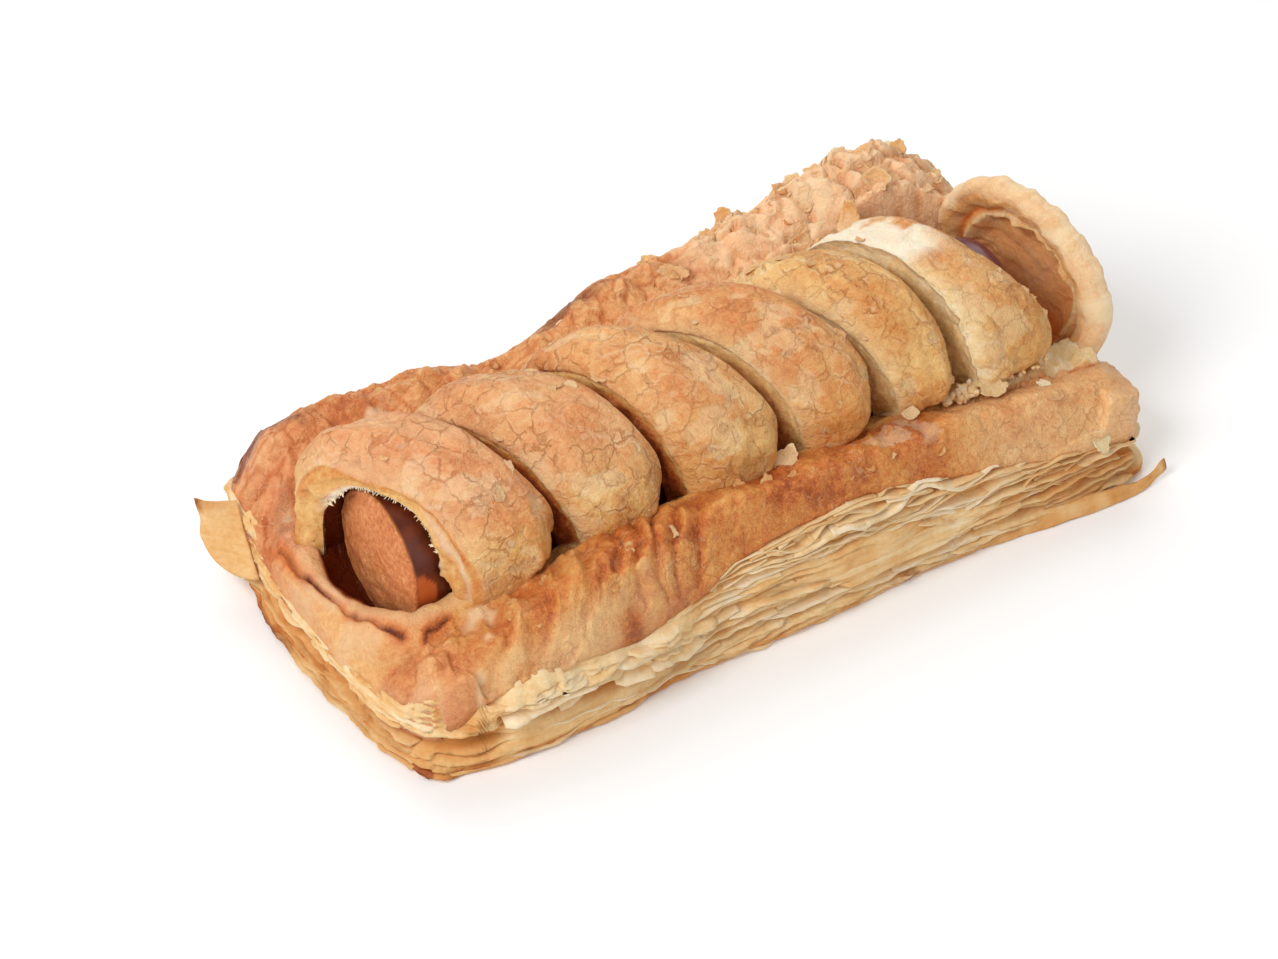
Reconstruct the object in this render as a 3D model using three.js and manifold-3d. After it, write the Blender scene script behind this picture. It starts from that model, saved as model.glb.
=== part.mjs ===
// A baked sausage roll: a whole sausage in one risen puff pastry case with slanted slits across its top.
// Millimetres, +Z up, +X along the sausage. The cut end of the sausage shows at -X, the hood stands at +X.
import * as THREE from "three";
import { mergeVertices } from "three/addons/utils/BufferGeometryUtils.js";
import Module from "manifold-3d";

// ---- Driving dimensions, in millimetres ----
const HALF_LENGTH = 72.5; // middle of the case to each of its corners
const HALF_WIDTH = 34;
const END_BULGE = 3.5; // how far both ends swell past their corners
const BASE_CORNER = 3; // corner radius of the base sheet
const TOP_CORNER = { near: 8, far: 4.5 }; // and of the risen top
const ROLL_WIDTH = 15; // of the risen border along each long side
const FLOOR_HEIGHT = 15; // pastry under the bands, beside the sausage
const END_RIM_WIDTH = 9;
const END_RIM_HEIGHT = { middle: 14.5, corner: 21 };
const END_ROUNDING = 7; // how far in from an end wall the top begins to round over
const END_FALL = { open: 0.5, hooded: 0.35 }; // share of the height that this rounding takes at each end
const FLAKY_HEIGHT = 9; // of the flaky wall that the end rounding never cuts into

const SAUSAGE_RADIUS = 12.75;
const SAUSAGE_START = -63.5; // its cut face
const SAUSAGE_END = 63;
const SAUSAGE_HEIGHT = 21; // of its axis
const SAUSAGE_SIDE = 0.5; // its axis lies this far towards the far side
const FACE_DOME = 1.2; // how far the cut face swells
const CLEARANCE = 0.35; // between the sausage and its tunnel
const SAUSAGE_SIDES = 28;

const DOME_RADIUS = 20.5; // outside of the bands, about an axis at DOME_HEIGHT
const DOME_HEIGHT = 22;
const BAND_LEG = 8; // straight foot of a band, below the arch
const BAND_ROUNDING = { open: 4.2, hooded: 2.6, power: 3.2 }; // how far its two cut edges round over
const SLIT_WIDTH = 2.4;

// Each slit crosses the roll on a slant: x on the centre line, and how far x falls for each mm towards +Y.
const MOUTH_EDGE = { x: -62, slant: 0.5 };
const SLITS = [
  { x: -47, slant: 0.42 },
  { x: -23.8, slant: 0.38 },
  { x: -3.2, slant: 0.55 },
  { x: 17.6, slant: 0.47 },
  { x: 36.6, slant: 0.32 },
];
const HOOD_SLIT = { x: 55.8, slant: 0.42 };
const BAND_SWELL = [3.2, 2.6, 3, 3.6, 2, 1.6]; // how much higher than the dome each band has risen

// Hollows round the cut face of the sausage and inside the hood.
const MOUTH = { x: -61, y: 1.5, z: 23, rx: 11.5, ry: 15.8, rz: 13 };
const HOLLOW = { x: 62, y: 1, z: 25, rx: 8.5, ry: 15.5, rz: 13.5 };

// Height of the two long borders and plan of the long sides, as [x, value] stations.
const NEAR_CREST = [
  [-73, 17.5], [-60, 23], [-48, 26.5], [-38, 29], [-12, 28.5], [28, 26.5], [57, 22.5], [73, 20],
];
const FAR_CREST = [
  [-73, 26], [-62, 28.5], [-38, 29.5], [-20, 26], [-4, 32.5], [20, 33.5], [40, 36], [56, 38.5], [66, 32],
  [73, 25],
];
const NEAR_SIDE = [
  [-73, -31.5], [-57, -34.6], [-38, -34.4], [-20, -32.6], [5, -33], [25, -32.3], [55, -32.6], [73, -32],
];
const FAR_SIDE = [[-73, 38.4], [-55, 37.2], [-38, 35.2], [-18, 34.2], [20, 35.6], [52, 37], [73, 33.5]];
const CREST_PLACE = 0.42; // where the crest runs, as a share of the border's width from its outer side
const NEAR_SHOULDER_DROP = 9; // from the crest of a border down to the top of its flaky wall
const FAR_SHOULDER_DROP = 6;
const CREASE_DROP = 3; // from the crest down to the crease beside the bands
const CREASE_STEEPNESS = 4; // fall for each mm past the crease

// ---- Helpers ----
const wasm = await Module();
wasm.setup();

// A closed three.js geometry as a manifold-3d solid.
function solidOf(geometry) {
  const bare = geometry.clone();
  bare.deleteAttribute("normal");
  bare.deleteAttribute("uv");
  const merged = mergeVertices(bare, 1e-4);
  return new wasm.Manifold(
    new wasm.Mesh({
      numProp: 3,
      vertProperties: new Float32Array(merged.attributes.position.array),
      triVerts: new Uint32Array(merged.index.array),
    }),
  );
}

function geometryOf(solid) {
  const mesh = solid.getMesh();
  const geometry = new THREE.BufferGeometry();
  geometry.setAttribute("position", new THREE.BufferAttribute(mesh.vertProperties, 3));
  geometry.setIndex(new THREE.BufferAttribute(mesh.triVerts, 1));
  geometry.computeVertexNormals();
  return geometry;
}

// Moves every vertex of a geometry by a function from Vector3 to Vector3.
function reshape(geometry, move) {
  const position = geometry.attributes.position;
  const point = new THREE.Vector3();
  for (let i = 0; i < position.count; i++) {
    const moved = move(point.fromBufferAttribute(position, i));
    position.setXYZ(i, moved.x, moved.y, moved.z);
  }
  return geometry;
}

const lerp = THREE.MathUtils.lerp;
const clamp = THREE.MathUtils.clamp;
const smoothstep = THREE.MathUtils.smoothstep;

// A smooth curve through [position, value] stations, level beyond its ends.
function along(stations, t) {
  const last = stations.length - 1;
  if (t <= stations[0][0]) return stations[0][1];
  if (t >= stations[last][0]) return stations[last][1];
  const i = stations.findIndex((station) => station[0] > t) - 1;
  const slope = (k) => {
    const a = stations[Math.max(k - 1, 0)];
    const b = stations[Math.min(k + 1, last)];
    return (b[1] - a[1]) / (b[0] - a[0]);
  };
  const [x0, y0] = stations[i];
  const [x1, y1] = stations[i + 1];
  const h = x1 - x0;
  const u = (t - x0) / h;
  const rise = u * u * (3 - 2 * u);
  return lerp(y0, y1, rise) + h * u * (1 - u) * ((1 - u) * slope(i) - u * slope(i + 1));
}

// A slow, repeatable unevenness between about -1 and 1.
function ripple(a, b, seed) {
  return (
    0.5 * Math.sin(0.31 * a + 0.17 * b + 1.7 * seed) +
    0.3 * Math.sin(0.13 * a - 0.43 * b + 2.9 * seed) +
    0.2 * Math.sin(0.73 * a + 0.59 * b + 4.1 * seed)
  );
}

// ---- The case: base, flaky walls and rolled borders ----
// Layers of the walls from the base up: how far each row stands in (-) or out (+), and how much it wanders.
const WALL_ROWS = [
  { out: 0.2, wander: 0.6 },
  { out: 0.6, wander: 0.6 },
  { out: -1.7, wander: 0.9 },
  { out: 0.1, wander: 0.8 },
  { out: -1.1, wander: 0.7 },
  { out: 0.3, wander: 0.7 },
  { out: -0.9, wander: 0.4 },
  { out: 0, wander: 0 },
];
const CASE_STEPS = { long: 44, across: 22 };
const WALL_SWAY = 1.05; // how far the walls lean up and down between base and top
const TORN_FOOT = { depth: 3.2, from: 58, full: 66, fading: 69, to: 73, rows: 2 }; // behind the peeled strip

// Height across a border: shoulder at its outer edge, crest near its middle, crease on its inner edge.
function borderHeight(depth, crest, shoulderDrop) {
  const t = depth / ROLL_WIDTH;
  if (t < CREST_PLACE) return crest - shoulderDrop * (1 - Math.sin((t / CREST_PLACE) * Math.PI * 0.5));
  if (t < 1) return crest - CREASE_DROP * smoothstep(t, CREST_PLACE, 1);
  return crest - CREASE_DROP - CREASE_STEEPNESS * (depth - ROLL_WIDTH);
}

function caseHeight(x, y) {
  const middle = 1 - (y / HALF_WIDTH) ** 2;
  const left = x + HALF_LENGTH + END_BULGE * middle;
  const right = HALF_LENGTH - x + END_BULGE * middle;
  const bumps = 0.5 * ripple(x, y, 1) + 0.25 * ripple(2.3 * x, 2.1 * y, 2);
  const near = borderHeight(y - along(NEAR_SIDE, x), along(NEAR_CREST, x), NEAR_SHOULDER_DROP);
  const far = borderHeight(along(FAR_SIDE, x) - y, along(FAR_CREST, x), FAR_SHOULDER_DROP);
  const endRim = lerp(END_RIM_HEIGHT.corner, END_RIM_HEIGHT.middle, smoothstep(middle, 0.2, 0.9));
  const rims = Math.min(left, right) < END_RIM_WIDTH ? endRim : FLOOR_HEIGHT;
  const inside = Math.max(near, far, rims);
  // everything rounds over towards the two end walls
  const toEnd = clamp(Math.min(left, right) / END_ROUNDING, 0, 1);
  const endShare = left < right ? END_FALL.open : END_FALL.hooded;
  const endFall = endShare * (inside - FLAKY_HEIGHT) * (1 - Math.sin(toEnd * Math.PI * 0.5));
  return inside + bumps - endFall;
}

// Plan of the case: wavy long sides, swollen ends, round corners. p and q run from -1 to 1.
function planPoint(p, q, corner) {
  const cornerX = 1 - corner / HALF_LENGTH;
  const cornerY = 1 - corner / HALF_WIDTH;
  const a = clamp((Math.abs(p) - cornerX) / (1 - cornerX), 0, 1);
  const b = clamp((Math.abs(q) - cornerY) / (1 - cornerY), 0, 1);
  const rounded = a > 0 && b > 0;
  const u = rounded ? Math.sign(p) * (cornerX + (1 - cornerX) * a * Math.sqrt(1 - (b * b) / 2)) : p;
  const v = rounded ? Math.sign(q) * (cornerY + (1 - cornerY) * b * Math.sqrt(1 - (a * a) / 2)) : q;
  const x = u * (HALF_LENGTH + END_BULGE * (1 - v * v));
  const y = v < 0 ? -v * along(NEAR_SIDE, x) : v * along(FAR_SIDE, x);
  return { x, y };
}

function pastryCase() {
  const lastRow = WALL_ROWS.length - 1;
  const box = new THREE.BoxGeometry(2, 2, 1, CASE_STEPS.long, CASE_STEPS.across, lastRow);
  const spread = (s) => Math.sign(s) * Math.abs(s) ** 0.55; // closer rows in the borders
  return reshape(box, (p) => {
    const w = p.z + 0.5;
    const row = Math.round(w * lastRow);
    const topCorner = p.y < 0 && p.x < 0 ? TOP_CORNER.near : TOP_CORNER.far;
    let { x, y } = planPoint(p.x, spread(p.y), lerp(BASE_CORNER, topCorner, w));
    const top = caseHeight(x, y);
    const onEnd = Math.abs(p.x) > 0.999;
    const onSide = Math.abs(p.y) > 0.999;
    if (onEnd || onSide) {
      const { out, wander } = WALL_ROWS[row];
      const begun = smoothstep(x, TORN_FOOT.from, TORN_FOOT.full);
      const atStrip = begun * (1 - smoothstep(x, TORN_FOOT.fading, TORN_FOOT.to));
      const torn = onSide && p.y < 0 && row < TORN_FOOT.rows ? TORN_FOOT.depth * atStrip : 0;
      const push = out - torn + wander * ripple(1.3 * x + 5 * row, 1.3 * y, 3 + row);
      const outwards = new THREE.Vector2(onEnd ? Math.sign(p.x) : 0, onSide ? Math.sign(p.y) : 0);
      outwards.normalize().multiplyScalar(push);
      x += outwards.x;
      y += outwards.y;
    }
    const sway = onEnd || onSide ? WALL_SWAY * ripple(0.9 * x, 0.9 * y, 11) * Math.sin(Math.PI * w) : 0;
    return p.set(x, y, lerp(-1, top, w) + sway);
  });
}

// ---- The bands across the top ----
// One band: an arched strip with two straight legs, rounded over at both cut edges.
function band(from, to, swell, seed) {
  const box = new THREE.BoxGeometry(1, 2, 1, 6, 16, 1);
  const inner = SAUSAGE_RADIUS - 1;
  const legAngle = BAND_LEG / DOME_RADIUS;
  return reshape(box, (p) => {
    const across = 0.5 * Math.sin(Math.PI * p.x); // -0.5 on the -X edge, 0.5 on the +X edge
    const angle = p.y * (Math.PI / 2 + legAngle);
    const arch = clamp(angle, -Math.PI / 2, Math.PI / 2);
    const leg = (Math.abs(angle) - Math.abs(arch)) * DOME_RADIUS;
    const crown = Math.cos(arch);
    const edgeDrop = across < 0 ? BAND_ROUNDING.open : BAND_ROUNDING.hooded;
    const roundOver = edgeDrop * Math.abs(2 * across) ** BAND_ROUNDING.power;
    const unevenness = 0.45 * ripple(30 * across + 9 * seed, 12 * angle, seed);
    const outer = DOME_RADIUS + swell * crown - roundOver + unevenness;
    const radius = lerp(inner, outer, p.z + 0.5);
    const y = radius * Math.sin(arch);
    const z = DOME_HEIGHT + radius * crown - leg;
    const edgeFrom = from.x - from.slant * y;
    const edgeTo = to.x - to.slant * y;
    return p.set(lerp(edgeFrom, edgeTo, across + 0.5), y, z);
  });
}

// ---- The hood: the closed end of the case, standing up behind the last slit ----
const HOOD = { x: 68.3, slant: 0.22, side: 2, height: 22.3, rim: 19.9, turns: 28 };
// Radius and depth behind a rim of radius 20, from the outer face over the rim into the hollow face.
const HOOD_PROFILE = [
  [0, 5.4], [9, 5.2], [16, 4.6], [19.4, 3.4], [20, 1.4], [19.6, -0.2], [18.3, -0.8],
  [17, 0], [15.8, 1.1], [15, 0.5], [13, 1.9], [12, 1.3], [8, 2], [0, 2.2],
];

function hood() {
  const profile = HOOD_PROFILE.map(([radius, depth]) => new THREE.Vector2(radius * (HOOD.rim / 20), -depth));
  const lathe = new THREE.LatheGeometry(profile, HOOD.turns);
  return reshape(lathe, (p) => {
    // the lathe's axis (y) becomes -X
    const y = p.x;
    const z = p.z;
    const uneven = 0.5 * ripple(3 * y, 3 * z, 21);
    const x = HOOD.x - p.y - HOOD.slant * y * smoothstep(z, -12, 4);
    return p.set(x + uneven * 0.5, HOOD.side + y, HOOD.height + z + uneven);
  });
}

// ---- The lip: a low fold of pastry that curls round the cut end of the sausage ----
const LIP = { x: -57.5, y: 1.5, radius: 16.6, height: 13.6, endRise: 2.5, thick: 3, from: 88, to: 285 };

function lip() {
  // a capped tube, 0 to 1 along its axis, bent round the mouth
  const tube = new THREE.CylinderGeometry(1, 1, 1, 9, 18).translate(0, 0.5, 0);
  return reshape(tube, (p) => {
    const turn = THREE.MathUtils.degToRad(lerp(LIP.from, LIP.to, p.y));
    const swelling = Math.sin(Math.PI * p.y);
    const thick = LIP.thick * (0.75 + 0.25 * swelling) * (1 + 0.08 * ripple(30 * p.y, 0, 31));
    const radius = LIP.radius + thick * p.x;
    const rise = LIP.endRise * (1 - swelling) + 0.4 * ripple(24 * p.y, 0, 32);
    return p.set(
      LIP.x + radius * Math.cos(turn),
      LIP.y + radius * Math.sin(turn),
      LIP.height + rise + thick * p.z,
    );
  });
}

// ---- Flaky leaves that stand out of the walls ----
const LEAF = {
  perSide: 5, from: -54, spacing: 26, length: 24, reach: 4.2, thick: 0.9, root: 2.6, lowest: 3.5,
};
// Root of each sheet on the case, the way it points (degrees from +X) and its shape.
const FLAP = {
  at: [-71.5, 28.5, 8.5],
  heading: 170,
  roll: 3,
  shape: { length: 19, reach: 11, thickness: 0.9, wave: 0.5, lift: 0.8, seed: 41, taper: 0.7 },
};
const LOOSE_BASE = {
  at: [-72.6, -14, 1.6],
  heading: 187,
  roll: 0,
  shape: { length: 30, reach: 3.8, thickness: 0.9, wave: 0.35, lift: -0.3, seed: 43, taper: 0.9 },
};
const LOOSE_SIDE = {
  at: [-53, -32.4, 1.5],
  heading: 269,
  roll: 0,
  shape: { length: 36, reach: 3.8, thickness: 0.9, wave: 0.35, lift: -0.3, seed: 44, taper: 0.9 },
};
const STRIP = {
  at: [54.5, -31.4, 0.8],
  heading: -9,
  roll: 0,
  shape: { length: 4, reach: 22, thickness: 1.1, wave: 0.25, lift: 2, seed: 47, taper: 0.8 },
};

// A thin wavy sheet. Its root edge lies at y = 0 and its free edge at y = reach.
function leaf({ length, reach, thickness, wave, lift, seed, taper }) {
  const steps = Math.max(3, Math.round(length / 5));
  const box = new THREE.BoxGeometry(1, 1, 1, steps, 2, 1);
  return reshape(box, (p) => {
    const out = p.y + 0.5;
    const x = p.x * length * (1 - (1 - taper) * out);
    const ragged = 1 + 0.22 * ripple(1.6 * x, 0, seed) * out;
    const bend = wave * ripple(1.1 * x, 6 * out, seed + 1) + lift * out * out;
    return p.set(x, reach * out * ragged, thickness * p.z * (1 - 0.4 * out) + bend);
  });
}

function placedLeaf({ at, heading, roll, shape }) {
  const turn = new THREE.Matrix4().makeRotationZ(THREE.MathUtils.degToRad(heading - 90));
  const twist = new THREE.Matrix4().makeRotationY(THREE.MathUtils.degToRad(roll));
  const place = new THREE.Matrix4().makeTranslation(...at);
  return leaf(shape).applyMatrix4(place.multiply(turn).multiply(twist));
}

// One of the long torn layers along a long side: side is -1 for the near one, 1 for the far one.
function sideLeaf(side, k) {
  const x = LEAF.from + LEAF.spacing * k + 5 * ripple(7 * k, side, 5);
  const z = LEAF.lowest + ((k * 5) % 12) + 0.8 * ripple(k, 3 * side, 6);
  const edge = along(side < 0 ? NEAR_SIDE : FAR_SIDE, x);
  const shape = {
    length: LEAF.length + 6 * ripple(k, side, 7),
    reach: LEAF.reach,
    thickness: LEAF.thick,
    wave: 0.5,
    lift: 0.3 * side,
    seed: k + 10 * side + 20,
    taper: 0.75,
  };
  const at = [x, edge - side * LEAF.root, z];
  return placedLeaf({ at, heading: side * 90, roll: 3 * ripple(k, side, 8), shape });
}

function wallLeaves() {
  const leaves = [FLAP, LOOSE_BASE, LOOSE_SIDE, STRIP].map(placedLeaf);
  for (const side of [-1, 1]) {
    for (let k = 0; k < LEAF.perSide; k++) leaves.push(sideLeaf(side, k));
  }
  return leaves;
}

// ---- The sausage ----
// Half outline of the sausage, from the middle of its cut face to the tip of its round end.
function sausageProfile(radius, start, end) {
  const points = [[0, start - FACE_DOME], [0.55, start - 0.8 * FACE_DOME], [0.9, start - 0.15 * FACE_DOME]];
  const bodySteps = 8;
  const endSteps = 6;
  const endLength = 0.7 * radius;
  for (let k = 0; k < bodySteps; k++) points.push([1, lerp(start + 0.9, end - endLength, k / bodySteps)]);
  for (let k = 0; k < endSteps; k++) {
    const turn = (k / endSteps) * Math.PI * 0.5;
    points.push([Math.cos(turn), end - endLength * (1 - Math.sin(turn))]);
  }
  points.push([0, end]);
  return points.map(([r, x]) => new THREE.Vector2(r * radius, x));
}

function sausageForm(margin) {
  const profile = sausageProfile(SAUSAGE_RADIUS + margin, SAUSAGE_START - margin, SAUSAGE_END + margin);
  const lathe = new THREE.LatheGeometry(profile, SAUSAGE_SIDES);
  // the lathe turns about Y: lay it along X
  return reshape(lathe, (p) => p.set(p.y, SAUSAGE_SIDE + p.x, SAUSAGE_HEIGHT - p.z));
}

function ellipsoid({ x, y, z, rx, ry, rz }) {
  return new THREE.SphereGeometry(1, 20, 10).scale(rx, ry, rz).translate(x, y, z);
}

// ---- Joining and cutting ----
function bandForms() {
  const edges = [MOUTH_EDGE, ...SLITS, HOOD_SLIT];
  return BAND_SWELL.map((swell, i) => {
    const from = i === 0 ? edges[0] : { x: edges[i].x + SLIT_WIDTH, slant: edges[i].slant };
    return band(from, edges[i + 1], swell, i + 1);
  });
}

function pastrySolid() {
  const ground = new THREE.BoxGeometry(400, 200, 20).translate(0, 0, -10);
  const added = [...bandForms(), hood(), lip(), ...wallLeaves()];
  const removed = [sausageForm(CLEARANCE), ellipsoid(MOUTH), ellipsoid(HOLLOW), ground];
  let solid = solidOf(pastryCase());
  for (const form of added) solid = solid.add(solidOf(form));
  for (const form of removed) solid = solid.subtract(solidOf(form));
  // a boolean may leave crumbs: keep the one large body
  return solid.decompose().reduce((best, one) => (one.volume() > best.volume() ? one : best));
}

// ---- Materials and the finished group ----
const glazedPastry = new THREE.MeshStandardMaterial({ color: 0xd9a25c, roughness: 0.55, metalness: 0 });
const smokedSausage = new THREE.MeshStandardMaterial({ color: 0xb9744c, roughness: 0.4, metalness: 0 });

const pastry = new THREE.Mesh(geometryOf(pastrySolid()), glazedPastry);
pastry.name = "pastry";
const sausage = new THREE.Mesh(geometryOf(solidOf(sausageForm(0))), smokedSausage);
sausage.name = "sausage";

// The roll stands with the middle of its own box over the origin.
pastry.geometry.computeBoundingBox();
const middle = pastry.geometry.boundingBox.getCenter(new THREE.Vector3());
const roll = new THREE.Group();
roll.add(pastry, sausage);
for (const piece of roll.children) piece.geometry.translate(-middle.x, -middle.y, 0);

export default roll;
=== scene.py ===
# A baked sausage roll with the finish of a real one: glazed crust, crackled bands, flaky walls, sausage.
import math

import bpy
import bmesh
import numpy as np
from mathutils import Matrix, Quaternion, Vector


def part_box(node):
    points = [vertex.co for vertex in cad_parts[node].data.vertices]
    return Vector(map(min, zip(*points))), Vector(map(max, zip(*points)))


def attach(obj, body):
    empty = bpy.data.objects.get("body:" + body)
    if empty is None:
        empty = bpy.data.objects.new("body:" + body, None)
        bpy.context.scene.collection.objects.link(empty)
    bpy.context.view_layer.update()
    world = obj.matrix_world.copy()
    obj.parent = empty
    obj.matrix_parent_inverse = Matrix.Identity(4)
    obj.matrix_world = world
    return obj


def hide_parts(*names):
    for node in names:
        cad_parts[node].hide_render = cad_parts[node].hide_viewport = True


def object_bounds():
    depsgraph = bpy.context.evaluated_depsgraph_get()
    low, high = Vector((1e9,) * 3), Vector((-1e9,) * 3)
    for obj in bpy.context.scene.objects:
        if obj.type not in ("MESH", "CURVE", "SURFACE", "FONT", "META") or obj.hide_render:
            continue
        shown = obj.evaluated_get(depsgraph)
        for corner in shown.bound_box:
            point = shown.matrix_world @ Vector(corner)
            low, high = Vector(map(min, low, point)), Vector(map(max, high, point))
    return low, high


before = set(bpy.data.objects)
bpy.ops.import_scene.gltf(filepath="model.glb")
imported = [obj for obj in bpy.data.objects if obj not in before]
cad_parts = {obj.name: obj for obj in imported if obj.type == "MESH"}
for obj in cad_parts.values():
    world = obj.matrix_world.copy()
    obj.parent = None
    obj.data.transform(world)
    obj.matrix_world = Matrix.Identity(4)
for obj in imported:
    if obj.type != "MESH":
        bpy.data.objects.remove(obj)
cadLow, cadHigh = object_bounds()

# the roll's own sizes, in millimetres, as the CAD solid has them
roll = {
    "halfLength": 72.5, "halfWidth": 34.0, "endBulge": 3.5,
    "baseCorner": 3.0, "nearCorner": 8.0, "farCorner": 4.5,
    "borderWidth": 15.0, "crestShare": 0.42,  # how far across a border its crest lies
    "floorHeight": 15.0, "endRimWidth": 9.0, "endRimHeight": 14.5,
    "endRounding": 7.0, "flakyHeight": 9.0,
    "nearShoulderDrop": 9.0, "farShoulderDrop": 6.0, "creaseDrop": 3.0,
    "nearCrest": [(-73, 17.5), (-60, 23), (-48, 26.5), (-38, 29), (-12, 28.5), (28, 26.5), (57, 22.5),
                  (73, 20)],
    "farCrest": [(-73, 26), (-62, 28.5), (-38, 29.5), (-20, 26), (-4, 32.5), (20, 33.5), (40, 36), (56, 38.5),
                 (66, 32), (73, 25)],
    "nearSide": [(-73, -31.5), (-57, -34.6), (-38, -34.4), (-20, -32.6), (5, -33), (25, -32.3), (55, -32.6),
                 (73, -32)],
    "farSide": [(-73, 38.4), (-55, 37.2), (-38, 35.2), (-18, 34.2), (20, 35.6), (52, 37), (73, 33.5)],
    "domeRadius": 20.5, "domeHeight": 22.0, "bandLeg": 8.0, "slitWidth": 2.4,
    # where each slit meets the middle line, and how it slants
    "slits": [(-62, 0.5), (-47, 0.42), (-23.8, 0.38), (-3.2, 0.55), (17.6, 0.47), (36.6, 0.32), (55.8, 0.42)],
    "swell": [3.2, 2.6, 3.0, 3.6, 2.0, 1.6],
    "sausageRadius": 12.75, "sausageStart": -63.5, "sausageEnd": 63.0, "sausageHeight": 21.0,
    "sausageSide": 0.5, "faceDome": 1.2,
}

# the CAD roll was moved so that its box is centred: the sausage's own box says how far
sausageLow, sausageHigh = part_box("sausage")
sausageMiddle = (sausageLow + sausageHigh) * 500.0
shift = np.array([
    sausageMiddle.x - (roll["sausageStart"] - roll["faceDome"] + roll["sausageEnd"]) / 2,
    sausageMiddle.y - roll["sausageSide"],
    0.0,
])


# numbers that vary over a surface
def lerp(a, b, t):
    return a + (b - a) * t


def ease(u):
    return u * u * (3 - 2 * u)


def share(values):  # kept from 0 to 1
    return np.clip(values, 0, 1)


def step(t, low, high):  # 0 below low, 1 above high, smooth between
    return ease(share((t - low) / (high - low)))


def fade(t, low, high):  # 1 below low, 0 above high
    return 1 - step(t, low, high)


def between(t, a, b, c, d):  # rises from a to b and falls again from c to d
    return step(t, a, b) * fade(t, c, d)


def bell(t, middle, spread):
    return np.exp(-(((t - middle) / spread) ** 2))


def ripple(a, b, seed):
    return (
        0.5 * np.sin(0.31 * a + 0.17 * b + 1.7 * seed)
        + 0.3 * np.sin(0.13 * a - 0.43 * b + 2.9 * seed)
        + 0.2 * np.sin(0.73 * a + 0.59 * b + 4.1 * seed)
    )


def along(stations, t):  # a smooth curve through (place, value) stations
    xs, ys = np.array(stations, float).T
    before = np.maximum(np.arange(len(xs)) - 1, 0)
    after = np.minimum(np.arange(len(xs)) + 1, len(xs) - 1)
    slope = (ys[after] - ys[before]) / (xs[after] - xs[before])
    t = np.clip(t, xs[0], xs[-1])
    i = np.clip(np.searchsorted(xs, t, side="right") - 1, 0, len(xs) - 2)
    h = xs[i + 1] - xs[i]
    u = (t - xs[i]) / h
    return lerp(ys[i], ys[i + 1], ease(u)) + h * u * (1 - u) * ((1 - u) * slope[i] - u * slope[i + 1])


def chance(i, j, seed):  # a repeatable number from 0 to 1 for each pair of whole numbers
    h = (i.astype(np.int64) * 374761393 + j.astype(np.int64) * 668265263 + int(seed) * 974711) & 0xFFFFFFFF
    h = ((h ^ (h >> 13)) * 1274126177) & 0xFFFFFFFF
    return ((h ^ (h >> 16)) & 0xFFFF) / 65535.0


def wander(a, b, size, seed):  # smooth noise from about -1 to 1, with lumps of the given size
    a, b = np.broadcast_arrays(np.asarray(a, float) / size, np.asarray(b, float) / size)
    i, j = np.floor(a), np.floor(b)
    u, v = ease(a - i), ease(b - j)
    low = lerp(chance(i, j, seed), chance(i + 1, j, seed), u)
    high = lerp(chance(i, j + 1, seed), chance(i + 1, j + 1, seed), u)
    return 2 * lerp(low, high, v) - 1


def rough(a, b, size, seed, octaves=3):
    total, weight = 0.0, 1.0
    for k in range(octaves):
        total = total + weight * wander(a + 13.7 * k, b - 7.1 * k, size / 2 ** k, seed + 31 * k)
        weight *= 0.5
    return total / 1.6


# distance to the nearest cell's middle and to its border, a number for each cell, the way to its middle
def cells(a, b, size, seed):
    a, b = np.asarray(a, float) / size, np.asarray(b, float) / size
    i, j = np.floor(a), np.floor(b)
    first, second, number = np.full(a.shape, 9.0), np.full(a.shape, 9.0), np.zeros(a.shape)
    toA, toB = np.zeros(a.shape), np.zeros(a.shape)
    for di in (-1, 0, 1):
        for dj in (-1, 0, 1):
            ci, cj = i + di, j + dj
            da = ci + 0.1 + 0.8 * chance(ci, cj, seed) - a
            db = cj + 0.1 + 0.8 * chance(ci, cj, seed + 7) - b
            away = np.hypot(da, db)
            nearer = away < first
            second = np.where(nearer, first, np.minimum(second, away))
            number = np.where(nearer, chance(ci, cj, seed + 19), number)
            toA, toB = np.where(nearer, da, toA), np.where(nearer, db, toB)
            first = np.where(nearer, away, first)
    return first, second - first, number, toA, toB


def wrinkles(a, b, size, seed):  # sharp ridges between soft hollows, about -1 to 1
    finer = np.abs(wander(a + 5, b - 9, size * 0.45, seed + 3))
    return 1 - 2 * np.abs(wander(a, b, size, seed)) - 0.7 * finer


# meshes
def newGrid(columns, rows):
    bm = bmesh.new()
    bmesh.ops.create_grid(bm, x_segments=columns, y_segments=rows, size=1)
    return bm


def only(kind, made):
    return [g for g in made if isinstance(g, kind)]


def numberRow(bm, made, k):  # marks new vertices with the number of their row
    layer = bm.verts.layers.int.get("row") or bm.verts.layers.int.new("row")
    for v in only(bmesh.types.BMVert, made):
        v[layer] = k


def rimmedGrid(columns, rows, rings):  # a grid whose border is drawn out in rings and closed
    bm = newGrid(columns, rows)
    numberRow(bm, bm.verts, 0)
    ring = [e for e in bm.edges if e.is_boundary]
    for k in range(1, rings + 1):
        made = bmesh.ops.extrude_edge_only(bm, edges=ring)["geom"]
        ring = only(bmesh.types.BMEdge, made)
        numberRow(bm, made, k)
    bmesh.ops.holes_fill(bm, edges=ring, sides=0)
    return bm


def onBorder(grid):  # the columns and rows at the ends of a grid from -1 to 1
    return np.abs(grid) > 0.999


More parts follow.
